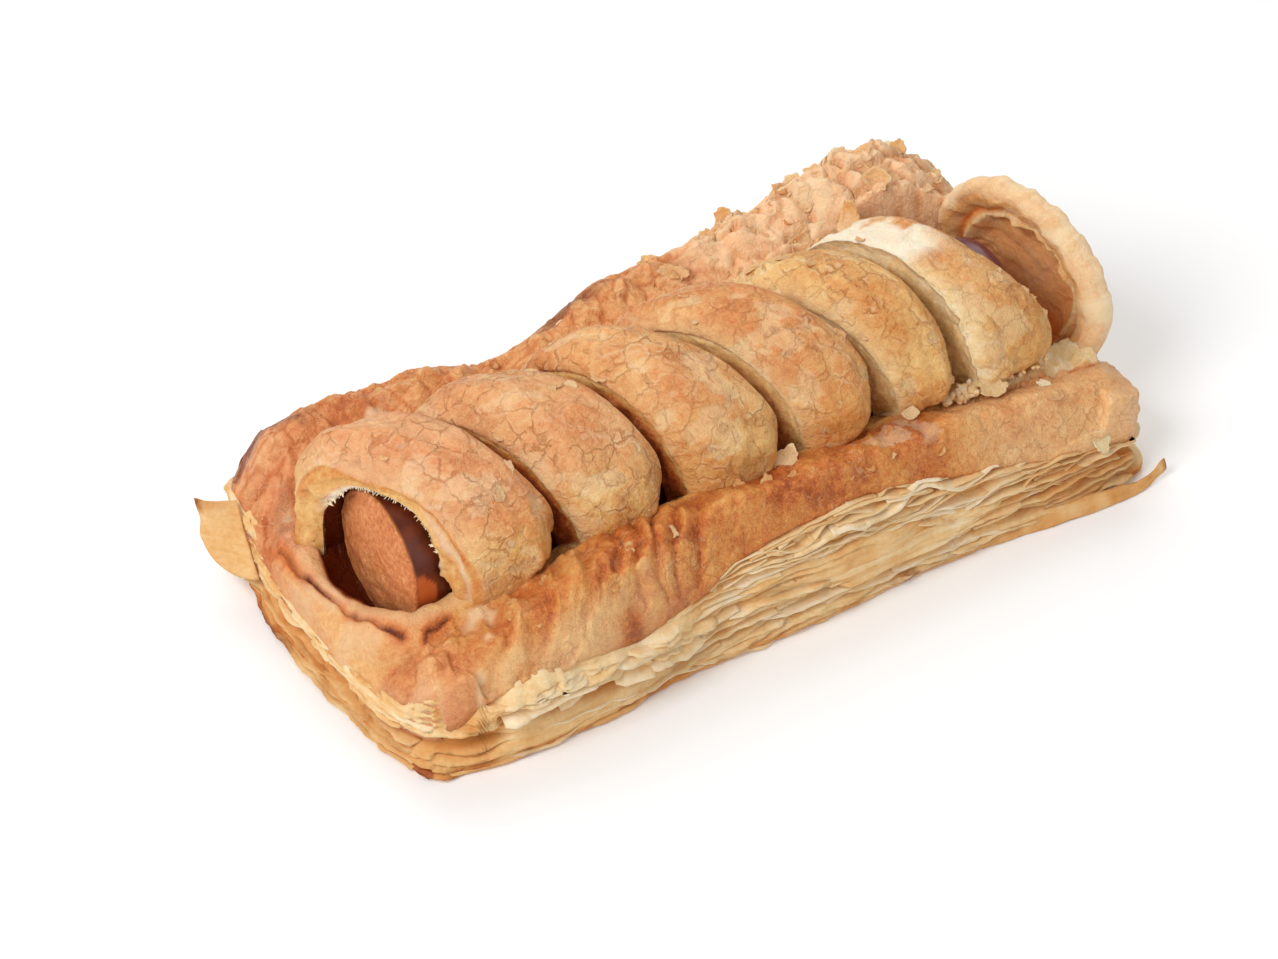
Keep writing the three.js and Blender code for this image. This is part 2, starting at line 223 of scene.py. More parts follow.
def outward(grid):  # the way out at a grid's border, nothing inside it
    outX, outY = np.where(onBorder(grid[:, :2]), np.sign(grid[:, :2]), 0).T
    size = np.maximum(np.hypot(outX, outY), 1)
    return outX / size, outY / size


def spots(bm):
    return np.array([tuple(v.co) for v in bm.verts])


def rowsOf(bm):  # the row that each vertex is in
    layer = bm.verts.layers.int["row"]
    return np.array([v[layer] for v in bm.verts])


def moveAll(bm, places, marks=None):
    for v, place in zip(bm.verts, places.tolist()):
        v.co = place
    for name, values in (marks or {}).items():
        layer = bm.verts.layers.float.get(name) or bm.verts.layers.float.new(name)
        for v, value in zip(bm.verts, np.broadcast_to(values, len(places)).tolist()):
            v[layer] = value


insideBox = 0.00005  # metres that each piece stays inside the CAD's box


def finishPiece(name, bm, material, node="pastry", merge=0.0):
    if merge:
        bmesh.ops.remove_doubles(bm, verts=bm.verts[:], dist=merge)
    bmesh.ops.recalc_face_normals(bm, faces=bm.faces[:])
    places = (spots(bm) + shift) / 1000.0  # design millimetres become metres in the CAD's frame
    lowest = np.array(cadLow) + [insideBox, insideBox, 0]
    moveAll(bm, np.clip(places, lowest, np.array(cadHigh) - insideBox))
    mesh = bpy.data.meshes.new(name)
    bm.to_mesh(mesh)
    bm.free()
    mesh.shade_smooth()
    mesh.materials.append(material)
    piece = bpy.data.objects.new(name, mesh)
    bpy.context.scene.collection.objects.link(piece)
    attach(piece, "root")
    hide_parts(node)
    print(name, len(mesh.polygons), "faces")


# materials, where sums on sockets read as sums
class Socket:
    def __init__(self, sheet, socket):
        self.sheet, self.socket = sheet, socket

    def sum(self, operation, a, b=0.0):
        return self.sheet.node("ShaderNodeMath", {"operation": operation}, {0: a, 1: b})

    def __add__(self, other):
        return self.sum("ADD", self, other)

    def __sub__(self, other):
        return self.sum("SUBTRACT", self, other)

    def __mul__(self, other):
        return self.sum("MULTIPLY", self, other)

    def __rsub__(self, other):
        return self.sum("SUBTRACT", other, self)

    __radd__, __rmul__ = __add__, __mul__

    def above(self, low, high):  # 0 below low, 1 above high
        smooth = {"interpolation_type": "SMOOTHSTEP"}
        return self.sheet.node("ShaderNodeMapRange", smooth, {0: self, 1: low, 2: high})


class Sheet:
    def __init__(self, name):
        self.material = bpy.data.materials.new(name)
        self.material.use_nodes = True
        self.tree = self.material.node_tree
        self.tree.nodes.clear()
        self.place = self.node("ShaderNodeTexCoord", output="Object")

    def node(self, kind, settings=None, inputs=None, output=0):
        made = self.tree.nodes.new(kind)
        for key, value in (settings or {}).items():
            if key == "stops":
                ramp = made.color_ramp
                while len(ramp.elements) < len(value):
                    ramp.elements.new(0.5)
                for element, (position, colour) in zip(ramp.elements, value):
                    element.position, element.color = position, (*colour, 1)
            else:
                setattr(made, key, value)
        for key, value in (inputs or {}).items():
            if isinstance(value, Socket):
                self.tree.links.new(value.socket, made.inputs[key])
            else:
                made.inputs[key].default_value = value
        return Socket(self, made.outputs[output])

    def mark(self, name):
        return self.node("ShaderNodeAttribute", {"attribute_name": name}, output="Fac")

    # lumps of the given size in millimetres
    def noise(self, size, detail=3.0, rough=0.55, stretch=None, twist=0.0, output="Fac"):
        at = self.place
        if stretch:
            at = self.node("ShaderNodeMapping", inputs={"Vector": at, "Scale": stretch})
        return self.node("ShaderNodeTexNoise", output=output, inputs={
            "Vector": at, "Scale": 1000.0 / size, "Detail": detail, "Roughness": rough, "Distortion": twist})

    # cells of the given size, read at another place where one is given
    def plates(self, size, output, at=None, **settings):
        inputs = {"Vector": at or self.place, "Scale": 1000.0 / size}
        return self.node("ShaderNodeTexVoronoi", settings, inputs, output)

    def bent(self, warp, reach):  # the place, moved about by up to so many metres
        add = {"operation": "MULTIPLY_ADD"}
        return self.node("ShaderNodeVectorMath", add, {0: warp, 1: (reach,) * 3, 2: self.place})

    def mix(self, factor, a, b):
        a, b = [(*c, 1) if isinstance(c, tuple) else c for c in (a, b)]
        return self.node("ShaderNodeMix", {"data_type": "RGBA"}, {0: factor, 6: a, 7: b}, output=2)

    def ramp(self, value, stops):
        return self.node("ShaderNodeValToRGB", {"stops": stops}, {0: value})

    def finish(self, colour, roughness, height, depth, constants=None):  # depth: the bump's, in millimetres
        bump = {"Height": height, "Strength": 1.0, "Distance": depth / 1000.0}
        normal = self.node("ShaderNodeBump", inputs=bump)
        sockets = {"Base Color": colour, "Roughness": roughness, "Normal": normal, **(constants or {})}
        shader = self.node("ShaderNodeBsdfPrincipled", inputs=sockets)
        end = self.tree.nodes.new("ShaderNodeOutputMaterial")
        self.tree.links.new(shader.socket, end.inputs["Surface"])
        return self.material


def linear(*colour):  # an ordinary 0 to 255 colour as the shader's own
    return tuple(round(((c / 255 + 0.055) / 1.055) ** 2.4 if c > 10 else c / 3295, 4) for c in colour)


# baked colours of the glazed dough; the last, a bright orange, is partly the real orange round the score
# lines and partly a painted glow in shaded hollows
baked = {
    "cream": linear(250, 230, 190), "straw": linear(240, 199, 130), "gold": linear(229, 174, 104),
    "tan": linear(216, 142, 72), "brown": linear(194, 104, 46), "dark": linear(164, 82, 36),
    "char": linear(104, 36, 8), "crack": linear(192, 112, 54), "speck": linear(112, 60, 30),
    "peach": linear(250, 202, 158), "rust": linear(222, 126, 74),
    "raw": linear(253, 246, 232), "ember": linear(255, 150, 66),
}
# colours of the flaky layers; hollow is the colour of painted shade in their recesses
leaved = {
    "cream": linear(250, 232, 200), "straw": linear(242, 208, 154), "gold": linear(230, 180, 116),
    "tan": linear(214, 146, 80), "brown": linear(184, 100, 44), "hollow": linear(206, 138, 66),
    "char": linear(140, 66, 28),
}

# light goes a little way into the dough
soft = {"Subsurface Weight": 0.3, "Subsurface Radius": (1.0, 0.55, 0.32), "Subsurface Scale": 0.0016}


def glazedDough(name, plate, crackDepth, gloss, mirror, patchy=0.5):
    sheet = Sheet(name)
    marks = ("toast", "crack", "pale", "char", "blush", "crazed", "raw", "ember")
    toast, crack, pale, char, blush, crazed, raw, ember = [sheet.mark(m) for m in marks]
    blotches = sheet.noise(9.0, 4.0, 0.62)
    grain = sheet.noise(1.3, 4.0, 0.65)
    fine = sheet.noise(0.35, 2.0, 0.6)
    # plates of glaze: warped cells, their hair cracks, and smaller plates inside some of them
    warp = sheet.noise(1000.0 / 480.0, 5.0, 0.6, output="Color")
    bent, bentLess = sheet.bent(warp, 0.0040), sheet.bent(warp, 0.0026)
    plates = sheet.plates(plate, "Color", bent)
    wide, small = [sheet.plates(size, "Distance", bentLess, feature="DISTANCE_TO_EDGE")
                   for size in (plate, plate * 0.4)]
    broken = sheet.noise(3.2, 3.0, 0.6)
    hair = (1.0 - wide.above(0.0, 0.05)) * crazed * broken.above(0.38, 0.54)
    fineHair = (1.0 - small.above(0.0, 0.08)) * crazed * blotches.above(0.48, 0.6)
    lifted = wide.above(0.04, 0.08) * (1.0 - wide.above(0.08, 0.18)) * plates.above(0.45, 0.65)
    lifted = lifted * crazed * broken.above(0.4, 0.6)
    tone = toast + (blotches - 0.5) * patchy + (grain - 0.5) * 0.74 + (fine - 0.5) * 0.42
    tone = tone + (plates - 0.45) * 0.10 * crazed
    colour = sheet.ramp(tone, [(0.0, baked["cream"]), (0.22, baked["straw"]), (0.45, baked["gold"]),
                               (0.68, baked["tan"]), (0.9, baked["brown"]), (1.0, baked["dark"])])
    colour = sheet.mix(blush * 0.7, colour, sheet.mix(tone, baked["peach"], baked["rust"]))
    colour = sheet.mix(crack * 0.6, colour, baked["crack"])
    colour = sheet.mix(hair * 0.42 + fineHair * 0.16, colour, baked["crack"])
    colour = sheet.mix(lifted * 0.35, colour, baked["cream"])
    colour = sheet.mix(pale * (0.45 + 0.8 * grain), colour, baked["cream"])
    pits = sheet.plates(1000.0 / 170.0, "Distance")
    colour = sheet.mix((1.0 - pits.above(0.02, 0.06)) * 0.5, colour, baked["speck"])
    colour = sheet.mix(raw * (0.6 + 0.6 * grain), colour, baked["raw"])
    # bright orange mixed in: real round the score lines, a painted glow in shaded hollows
    colour = sheet.mix(ember, colour, baked["ember"])
    colour = sheet.mix(char * (0.55 + grain), colour, baked["char"])
    shine = gloss + 0.34 * grain + 0.2 * pale - 0.12 * char
    relief = (grain * 0.7 + fine * 0.34 + blotches * 0.5 + plates * 0.26 * crazed + lifted * 0.12
              - (hair * 0.35 + fineHair * 0.16) * crackDepth)
    return sheet.finish(colour, shine, relief, 0.58, {"Specular IOR Level": mirror, **soft})


def flakyDough(name):
    sheet = Sheet(name)
    toast, deep, char = [sheet.mark(m) for m in ("toast", "deep", "char")]
    blotches = sheet.noise(6.0, 3.0, 0.6)
    grain = sheet.noise(0.8, 3.0, 0.6)
    sheets = sheet.noise(0.9, 3.0, 0.6, stretch=(0.10, 0.10, 1.0), twist=0.6)
    tone = toast + (blotches - 0.5) * 0.55 + (grain - 0.5) * 0.3 + (sheets - 0.5) * 0.4
    colour = sheet.ramp(tone, [(0.0, leaved["cream"]), (0.3, leaved["straw"]), (0.55, leaved["gold"]),
                               (0.8, leaved["tan"]), (1.0, leaved["brown"])])
    # painted shade: deep mixes in the hollow colour where the layers sink in and under the loose sheets
    colour = sheet.mix(deep * 0.75, colour, leaved["hollow"])
    colour = sheet.mix(char * (0.4 + grain), colour, leaved["char"])
    relief = sheets * 0.6 + grain * 0.5
    return sheet.finish(colour, 0.48 + 0.3 * grain, relief, 0.3, {"Specular IOR Level": 0.25})


crustFinish = glazedDough("glazed crust", 3.4, 0.8, 0.26, 0.30, 0.34)
bandFinish = glazedDough("crackled bands", 4.2, 1.0, 0.34, 0.30)
hoodFinish = glazedDough("hood crust", 3.4, 0.6, 0.4, 0.05)
flakyFinish = flakyDough("flaky layers")


# plan and height of the case
# p and q run from -1 to 1, and the near corner of the open end has its own size
def planPoint(p, q, cornerNear, cornerFar):
    corner = np.where((p < 0) & (q < 0), cornerNear, cornerFar)
    cornerX, cornerY = 1 - corner / roll["halfLength"], 1 - corner / roll["halfWidth"]
    a = share((np.abs(p) - cornerX) / (1 - cornerX))
    b = share((np.abs(q) - cornerY) / (1 - cornerY))
    both = (a > 0) & (b > 0)
    u = np.where(both, np.sign(p) * (cornerX + (1 - cornerX) * a * np.sqrt(1 - b * b / 2)), p)
    v = np.where(both, np.sign(q) * (cornerY + (1 - cornerY) * b * np.sqrt(1 - a * a / 2)), q)
    x = u * (roll["halfLength"] + roll["endBulge"] * (1 - v * v))
    y = np.where(v < 0, -v * along(roll["nearSide"], x), v * along(roll["farSide"], x))
    return x, y


def quarter(t):  # a quarter of a sine wave, from 0 to 1
    return np.sin(share(t) * math.pi / 2)


def borderHeight(depth, crest, shoulderDrop):
    t = depth / roll["borderWidth"]
    top = roll["crestShare"]
    rise = crest - shoulderDrop * (1 - quarter(t / top))
    fall = crest - roll["creaseDrop"] * step(t, top, 1.0)
    beyond = crest - roll["creaseDrop"] - 4 * (depth - roll["borderWidth"])
    return np.where(t < top, rise, np.where(t < 1, fall, beyond))


def caseHeight(x, y):
    across = (y / roll["halfWidth"]) ** 2
    left = x + roll["halfLength"] + roll["endBulge"] * (1 - across)
    right = roll["halfLength"] - x + roll["endBulge"] * (1 - across)
    bumps = 0.5 * ripple(x, y, 1) + 0.25 * ripple(2.3 * x, 2.1 * y, 2)
    near = borderHeight(y - along(roll["nearSide"], x), along(roll["nearCrest"], x), roll["nearShoulderDrop"])
    far = borderHeight(along(roll["farSide"], x) - y, along(roll["farCrest"], x), roll["farShoulderDrop"])
    endRim = lerp(21, roll["endRimHeight"], step(1 - across, 0.2, 0.9))
    toEnd = np.minimum(left, right)
    inRim = step(toEnd, roll["endRimWidth"] - 1.0, roll["endRimWidth"] + 1.0)
    rims = lerp(endRim, roll["floorHeight"], inRim)
    inside = np.maximum(np.maximum(near, far), rims)
    falling = np.where(left < right, 0.5, 0.35)
    fall = falling * (inside - roll["flakyHeight"]) * (1 - quarter(toEnd / roll["endRounding"]))
    return inside + bumps - fall


crust = {
    "columns": 390, "rows": 150, "rimRows": 12, "overRows": 6, "leftShare": 0.15,
    # height of the glaze's torn edge along the near side
    "nearEdge": [(-73, 8.6), (-68.5, 10.5), (-64, 14.0), (-60, 15.8), (-53, 17.6), (-41, 16.8), (-33, 15.4),
                 (-22, 17.6), (-12, 21.6), (-4, 22.8), (12, 23.6), (29, 20.0), (50, 15.4), (69, 10.5)],
    "ragged": 0.2,
    "foldsFrom": -36.0, "foldsTo": -12.0, "foldPitch": 4.8, "foldDepth": 1.7,
    # middle, height and size of the bowls at both ends of the sausage
    "mouth": (-61.2, 1.2, 22.5, 10.4, 13.8, 14.0), "hollow": (62.0, 1.0, 25.0, 8.5, 15.5, 13.5),
    # the burnt score line round the mouth and the short one beside it, with the lip between line and mouth
    "score": [(-73.9, 17.0), (-73.9, 14.0), (-74.1, 9.1), (-73.1, 2.3), (-72.2, -5.4), (-71.1, -11.0),
              (-68.6, -15.9)],
    "tick": [(-66.0, -18.7), (-63.6, -18.0), (-60.7, -17.4)],
    "lip": [(-69.8, 21.0), (-69.8, 15.0), (-72.0, 8.9), (-73.2, 3.1), (-72.4, -1.2), (-70.4, -4.8),
            (-68.5, -9.5), (-66.2, -13.4), (-62.4, -14.7), (-58.5, -14.9), (-52.0, -15.2)],
    "ridge": 2.3, "ridgeHeight": 16.8, "outerReach": 6.2, "innerFall": 1.5, "outerFall": 7.0,
    # a sill behind the near border closes the foot of each slit
    "sillHeight": 21.5, "fillSide": -20.6,
    # pale dough that fills the place between the last band, the hood and the near border
    "fillFrom": 41.0, "fillTo": 74.0, "fillInner": -10.0, "fillHeight": 21.8,
}


def shoulderInset(x, z):  # how far in from the near side the slope of its border is z high
    reach = np.clip(1 - (along(roll["nearCrest"], x) - z) / roll["nearShoulderDrop"], 0, 0.98)
    return roll["crestShare"] * roll["borderWidth"] * np.arcsin(reach) / (math.pi / 2)


def toPolyline(x, y, points):  # distance to a line through the points, and where its left side is
    best, left = np.full(np.shape(x), 99.0), np.zeros(np.shape(x), bool)
    for (ax, ay), (bx, by) in zip(points, points[1:]):
        dx, dy = bx - ax, by - ay
        t = share(((x - ax) * dx + (y - ay) * dy) / (dx * dx + dy * dy))
        away = np.hypot(x - ax - t * dx, y - ay - t * dy)
        left = np.where(away < best, dx * (y - ay) > dy * (x - ax), left)
        best = np.minimum(best, away)
    return best, left


def crustForm(x, y):  # the top's form under its relief, and where the lip, the bed and the filled place are
    base = caseHeight(x, y)
    for mx, my, mz, rx, ry, rz in (crust["mouth"], crust["hollow"]):
        bowl = 1 - np.abs((x - mx) / rx) ** 2.6 - np.abs((y - my) / ry) ** 2.6
        base = np.where(bowl > 0, np.minimum(base, mz - rz * np.maximum(bowl, 0) ** 0.42), base)
    # the rounded lip between the score line and the pocket
    wobbleX, wobbleY = x + 0.5 * wander(x, y, 5, 16), y + 0.5 * wander(x, y, 5, 17)
    toPocket, insideLip = toPolyline(wobbleX, wobbleY, crust["lip"])
    ridge = crust["ridge"] * (1 + 0.25 * wander(x, y, 7, 18) + 0.2 * wander(x, y, 2.6, 20))
    fall = np.where(insideLip, crust["innerFall"], crust["outerFall"])
    spread = np.where(insideLip, ridge, crust["outerReach"])
    lipHeight = crust["ridgeHeight"] + 0.5 * rough(x, y, 5, 19) + 3.8 * step(-y, 2.0, 13.5)
    lipHeight = lipHeight + 1.2 * step(x, -67, -56) - fall * (1 - np.sqrt(1 - share(toPocket / spread) ** 2))
    # the sausage's bed
    off = y - roll["sausageSide"]
    reach, snug = roll["sausageRadius"] + 0.5, roll["sausageRadius"] + 0.15
    bed, under = [roll["sausageHeight"] - np.sqrt(np.maximum(r ** 2 - off ** 2, 0)) for r in (reach, snug)]
    inBed = (np.abs(off) < reach) & (x > roll["sausageStart"] - 1) & (x < roll["sausageEnd"] + 0.5)
    base = np.where(inBed, np.minimum(base, bed), base)
    onLip = (toPocket < spread) & (insideLip | (x < -56) | (toPocket < ridge))
    covered = (x > roll["sausageStart"] - 1.6) & (np.abs(off) < snug)
    base = np.where(onLip, np.maximum(base, np.minimum(lipHeight, np.where(covered, under, 99))), base)
    sill = (y > -20.6) & (y < -13.1) & (x > -58) & (x < 60)
    base = np.where(sill, np.maximum(base, crust["sillHeight"] + 0.8 * wander(x, y, 4, 29)), base)
    # pale dough beside the last band's foot
    filling = between(x, crust["fillFrom"], crust["fillFrom"] + 5, crust["fillTo"] - 3, crust["fillTo"])
    filling = filling * fade(y, crust["fillInner"] - 3, crust["fillInner"])
    fillTop = crust["fillHeight"] - 3.2 * step(x, 58, 68) + 0.9 * wander(x, y, 4.5, 30)
    fillTop = fillTop - 1.4 * step(-y, 18.6, 20.2)
    lump = np.where((filling > 0) & (y > -21), fillTop * filling, 0)
    filled = step(lump - base, -0.2, 0.3) * (y > crust["fillSide"])
    base = np.where(y > crust["fillSide"], np.maximum(base, lump), base)
    return base, toPocket, insideLip, onLip, inBed & ~onLip, filled


def downSlopes(x, y, base):  # y as a tape down the outer slopes has it, so that nothing is drawn out on them
    crestDepth = roll["crestShare"] * roll["borderWidth"]
    onNear = y < along(roll["nearSide"], x) + crestDepth
    onFar = y > along(roll["farSide"], x) - crestDepth
    nearFall = np.clip(along(roll["nearCrest"], x) - base, 0, 14) * onNear
    farFall = np.clip(along(roll["farCrest"], x) - base, 0, 14) * onFar
    return y - 0.8 * nearFall + 0.8 * farFall


def crustSurface(x, y):  # height of the glazed top with its relief, and how it is baked
    base, toPocket, insideLip, onLip, barelySeen, filled = crustForm(x, y)
    q = downSlopes(x, y, base)
    nearness, farness = fade(y, -20, -17.5), step(y, 10, 16)
    leftPart, rightPart = nearness * fade(x, -42, -30), nearness * step(x, 30, 45)
    puffed = farness * step(x, 8, 30)
    calmFar = farness * (1 - puffed)
    toFarSide = along(roll["farSide"], x) - y
    # wrinkles across the near border
    folding = nearness * step(x, crust["foldsFrom"] - 6, crust["foldsFrom"] + 4)
    folding = folding * fade(x, crust["foldsTo"] - 5, crust["foldsTo"] + 4)
    folding = folding * (0.75 + 0.25 * step(wander(x, q, 7, 13), -0.4, 0.2))
    slanted = x - 0.38 * q
    bend = slanted + 4.2 * wander(x, q, 10, 5) + 1.4 * wander(x, q, 4, 6)
    folds = np.abs(np.sin(math.pi * bend / crust["foldPitch"])) ** 0.6 - 0.62
    nearX, nearQ = x + 1.4 * wander(x, q, 4, 8) - 0.38 * q, q * 0.75 + 1.4 * wander(x, q, 4, 9)
    firstN, edgeN, numberN, _, _ = cells(nearX, nearQ, 5.2, 3)
    # tilted scales where the far border has risen most, small rough plates along the rest of it
    farX, farQ = x + 3.0 * rough(x, q, 5, 10), q * 1.15 + 3.0 * rough(x, q, 5, 11)
    firstF, edgeF, numberF, toX, toY = cells(farX, farQ, 5.6, 4)
    firstP, edgeP, numberP, _, _ = cells(x + 1.6 * rough(x, q, 4, 31), q + 1.6 * rough(x, q, 4, 32), 4.4, 33)
    scale = 1.7 * (toY * 0.8 + toX * 0.35) + 1.6 * (0.5 - firstF) + 0.7 * (numberF - 0.5)
    scale = scale * step(toFarSide, 0, 4)
    gate = step(wander(x, q, 11, 12), -0.35, 0.3)
    plates = (1.5 * (0.42 - firstN) * gate + 0.5 * (numberN - 0.5)) * nearness * (1 - 0.6 * folding)
    relief = (
        0.40 * rough(x, q, 6.5, 21) + 0.20 * rough(x, q, 1.9, 22)
        + crust["foldDepth"] * folds * folding
        + plates * (0.55 + 0.45 * leftPart - 0.45 * rightPart)
        + 0.55 * nearness * wrinkles(slanted, 0.45 * q, 2.6, 34) * (0.6 + 0.4 * leftPart - 0.3 * rightPart)
        + 0.75 * nearness * wrinkles(slanted, 0.5 * q, 6.5, 69) * fade(x, -6, 6) * step(x, -64, -56)
        + puffed * (0.8 * scale + 0.8 * wander(x, q, 4.5, 47) + 0.9 * wrinkles(x + 0.5 * q, q, 4.4, 50)
                    + 0.35 * wrinkles(x, q, 1.9, 66))
        + calmFar * (0.8 * (0.45 - firstP) + 0.6 * (numberP - 0.5) + 0.9 * rough(x, q, 5.5, 35))
        + 0.55 * farness * wrinkles(x, q, 3.4, 36) * (1 - 0.3 * puffed)
    )
    peeled = nearness * between(x, 6, 12, 34, 42) * step(y, -29, -27)
    peeled = peeled * step(rough(x, q, 6, 67, 4), 0.12, 0.17)
    crease = fade(edgeN, 0.02, 0.12) * gate * nearness * (1 - 0.5 * folding) * (1 - 0.7 * rightPart)
    seam = fade(edgeF, 0.03, 0.22) * puffed
    seamP = fade(edgeP, 0.02, 0.16) * calmFar
    # the score lines and the crumbly outside of the lip
    bentX, bentY = x + 0.5 * wander(x, y, 1.8, 14), y + 0.5 * wander(x, y, 1.8, 15)
    toScore, toTick = [toPolyline(bentX, bentY, crust[line])[0] for line in ("score", "tick")]
    groove = 0.9 * bell(toScore, 0, 0.55) + 0.8 * bell(toTick, 0, 0.55)
    crumbly = onLip * ~insideLip * step(toPocket, 2.6, 4.4)
    edgeLine = bell(y + 20.2 + 0.25 * wander(x, y, 3, 37), 0, 0.45) * step(x, 40, 50)
    relief = relief - 0.22 * peeled + onLip * 0.3 * rough(x, y, 2.4, 68)
    relief = relief + crumbly * (0.5 * wrinkles(x, 0.6 * y, 2.2, 48) + 0.25 * rough(x, y, 1.2, 49))
    relief = relief + filled * (1.0 * rough(x, y, 2.6, 39) + 0.5 * wrinkles(x, y, 2.0, 40))
    quiet = (1 - 0.6 * bell(toScore, 0, 1.6)) * np.where(barelySeen, 0.1, 1.0)
    height = base + relief * quiet - groove - 0.5 * edgeLine * (1 - filled)
    # how brown: most along the middle of the near border, pinker and lighter towards its ends
    toast = (
        0.50
        + 0.35 * nearness * step(x, -50, -20) * (1 - 1.1 * step(x, 22, 46))
        + 0.22 * nearness * fade(x, -50, -20)
        + 0.16 * farness * fade(x, -35, 10)
        - 0.46 * puffed
        # painted shade and light: browner along the seams of the far border's scales and plates and in low
        # places of the relief, lighter on its high places; the seams also take the crack colour
        + 0.14 * rough(x, q, 10, 23) + 0.10 * crease + 0.2 * seamP + 0.16 * seam
        - 0.15 * relief * (nearness + 0.6 * farness) - 0.14 * relief * puffed
        - 0.32 * filled + 0.4 * edgeLine
        - 0.02 * step(-x, 66, 71) * (1 - farness) - 0.05 * crumbly + 0.07 * onLip * (x < -50)
    )
    endRim = step(-x, 68, 72) * (1 - farness) * step(wander(x, y, 4, 44), -0.5, 0.5)
    pale = (
        0.55 * step(rough(x, q, 7, 24), 0.42, 0.75) * (nearness + farness) * step(-x, 20, 50)
        + 0.12 * puffed + 0.55 * puffed * step(numberF, 0.70, 0.9) + 0.25 * puffed * step(toY, 0.05, 0.4)
        + 0.34 * peeled + 0.28 * filled + 0.25 * fade(toPocket, 1.2, 3.4) + 0.25 * endRim
    )
    darkening = 1.15 * bell(toScore, 0, 0.42 + 0.18 * wander(x, y, 3, 28))
    darkening = darkening * (0.5 + 0.5 * step(wander(x, y, 5, 25), -0.5, 0.2)) * (1 - 0.8 * bell(y, -1.6, 2.2))
    browned = [step(2.0 * rough(x, y, 4, seed) - toFarSide, -7.0, -4.0) for seed in (26, 27)]
    char = share(
        darkening + 0.9 * bell(toTick, 0, 0.45)
        + farness * (0.65 * bell(x, -8, 7) * browned[0] + 0.7 * bell(x, -68, 8) * browned[1])
        + 0.35 * step(rough(x, y, 5, 38), 0.5, 0.8) * calmFar)
    # inside the bowls: browner as painted shade, with a painted glow at the closed end, and darker in the
    # mouth's pocket
    inner = step(-base, -15.2, -11.0) * (1 - nearness) * (1 - farness)
    inner = inner * (np.abs(x) < 71.5) * step(x, -71.5, -69.5)
    inner = np.maximum(inner, insideLip * step(toPocket, 1.2, 2.4) * (x < -50) * (np.abs(y) < 15.5))
    rimTint = 0.5 * bell(toScore, 0, 1.0) + 0.5 * bell(toTick, 0, 1.1)
    # bright orange: real round the score lines and on the lip, a painted glow in the closed end's bowl and a
    # little on the risen far border
    ember = 0.7 * inner * step(x, 50, 60) + 0.4 * share(bell(toScore, 0, 0.9) + bell(toTick, 0, 0.9))
    ember = ember + 0.16 * puffed * (1 - inner) + 0.10 * onLip * (1 - inner) * fade(toScore, 0, 0.9)
    blush = farness * (0.5 + 0.6 * step(x, 0, 24)) + 0.15 * nearness * fade(x, -58, -35)
    blush = blush + 0.6 * rightPart + 0.4 * step(-x, 60, 66)
    return height, {
        "toast": share(toast + rimTint + 0.55 * inner),
        "crack": share(0.8 * crease + 0.45 * seam + 0.7 * seamP),
        "pale": share(pale * (1 - inner)),
        "char": share(char + inner * step(-x, 58, 64)),
        "raw": 0.35 * filled * step(wander(x, y, 2.5, 45), -0.2, 0.5),
        "ember": ember,
        "crazed": share(0.6 * nearness * (0.35 + 0.65 * gate) + 0.5 * farness) * (1 - filled),
        "blush": share(blush) * (1 - filled),
    }


def makeCrust():
    over = crust["overRows"]
    bm = rimmedGrid(crust["columns"], crust["rows"], crust["rimRows"])
    grid, rows = spots(bm), rowsOf(bm)
    p = grid[:, 0] + crust["leftShare"] * (grid[:, 0] ** 2 - 1)
    toSide = np.abs(grid[:, 1])
    closer = lerp(toSide ** 0.85, np.sin(toSide * math.pi / 2), 0.45)  # closer rows on the steep outer slopes
    x, y = planPoint(p, np.sign(grid[:, 1]) * closer, roll["nearCorner"], roll["farCorner"])
    nearHalf = grid[:, 1] < 0
    side, edge = along(roll["nearSide"], x), along(crust["nearEdge"], x)
    tear = crust["ragged"] * rough(x, 0, 5, 41, 4)
    pulled = np.maximum(shoulderInset(x, edge) + tear, 0) * fade(y - side, 0, 12)
    y = np.where(nearHalf, y + pulled, y)
    height, marks = crustSurface(x, y)
    # the rim turns down over the flaky wall, then under it and down to the base, out of sight
    nearRim = nearHalf * fade(np.abs(p), 0.985, 1.0)
    openEnd = onBorder(grid[:, 0]) * (p < 0) * fade(grid[:, 1], 0.9, 1.0)
    onNear = onBorder(grid[:, 1]) & nearHalf
    cover = np.maximum(onNear, openEnd) * np.clip(height - np.where(onNear, edge, 9.3) - 0.3, 0, 9)
    reach = 1.5 + 0.5 * rough(x, y, 4, 42) + 1.1 * (1 - nearRim) + np.maximum(-tear, 0) * nearRim + cover
    outX, outY = outward(grid)
    t = share(rows / over)
    tuck = share((rows - over) / (crust["rimRows"] - over))
    push = 0.55 * np.sin(t * math.pi * 0.75) - 0.3 * t - 4.0 * tuck ** 0.6
    z = height - reach * t ** 1.5
    down = share((rows - over - 1) / (crust["rimRows"] - over - 1))
    z = np.where(rows > over, lerp(z - 0.2, 1.2, down), z)
    # the glaze thins to pale gold towards its torn near edge
    thin = nearRim * fade(y - side, 1.0, 4.5) * step(rough(x, y, 5, 43), -0.6, 0.2)
    marks["toast"] = share(marks["toast"] + 0.12 * t) - 0.16 * thin
    marks["crack"] = marks["crack"] * (1 - t)
    marks["pale"] = share(marks["pale"] + 0.25 * thin * step(-x, 18, 40))
    moveAll(bm, np.column_stack([x + outX * push, y + outY * push, z]), marks)
    finishPiece("crust", bm, crustFinish)


makeCrust()
print("crust done")


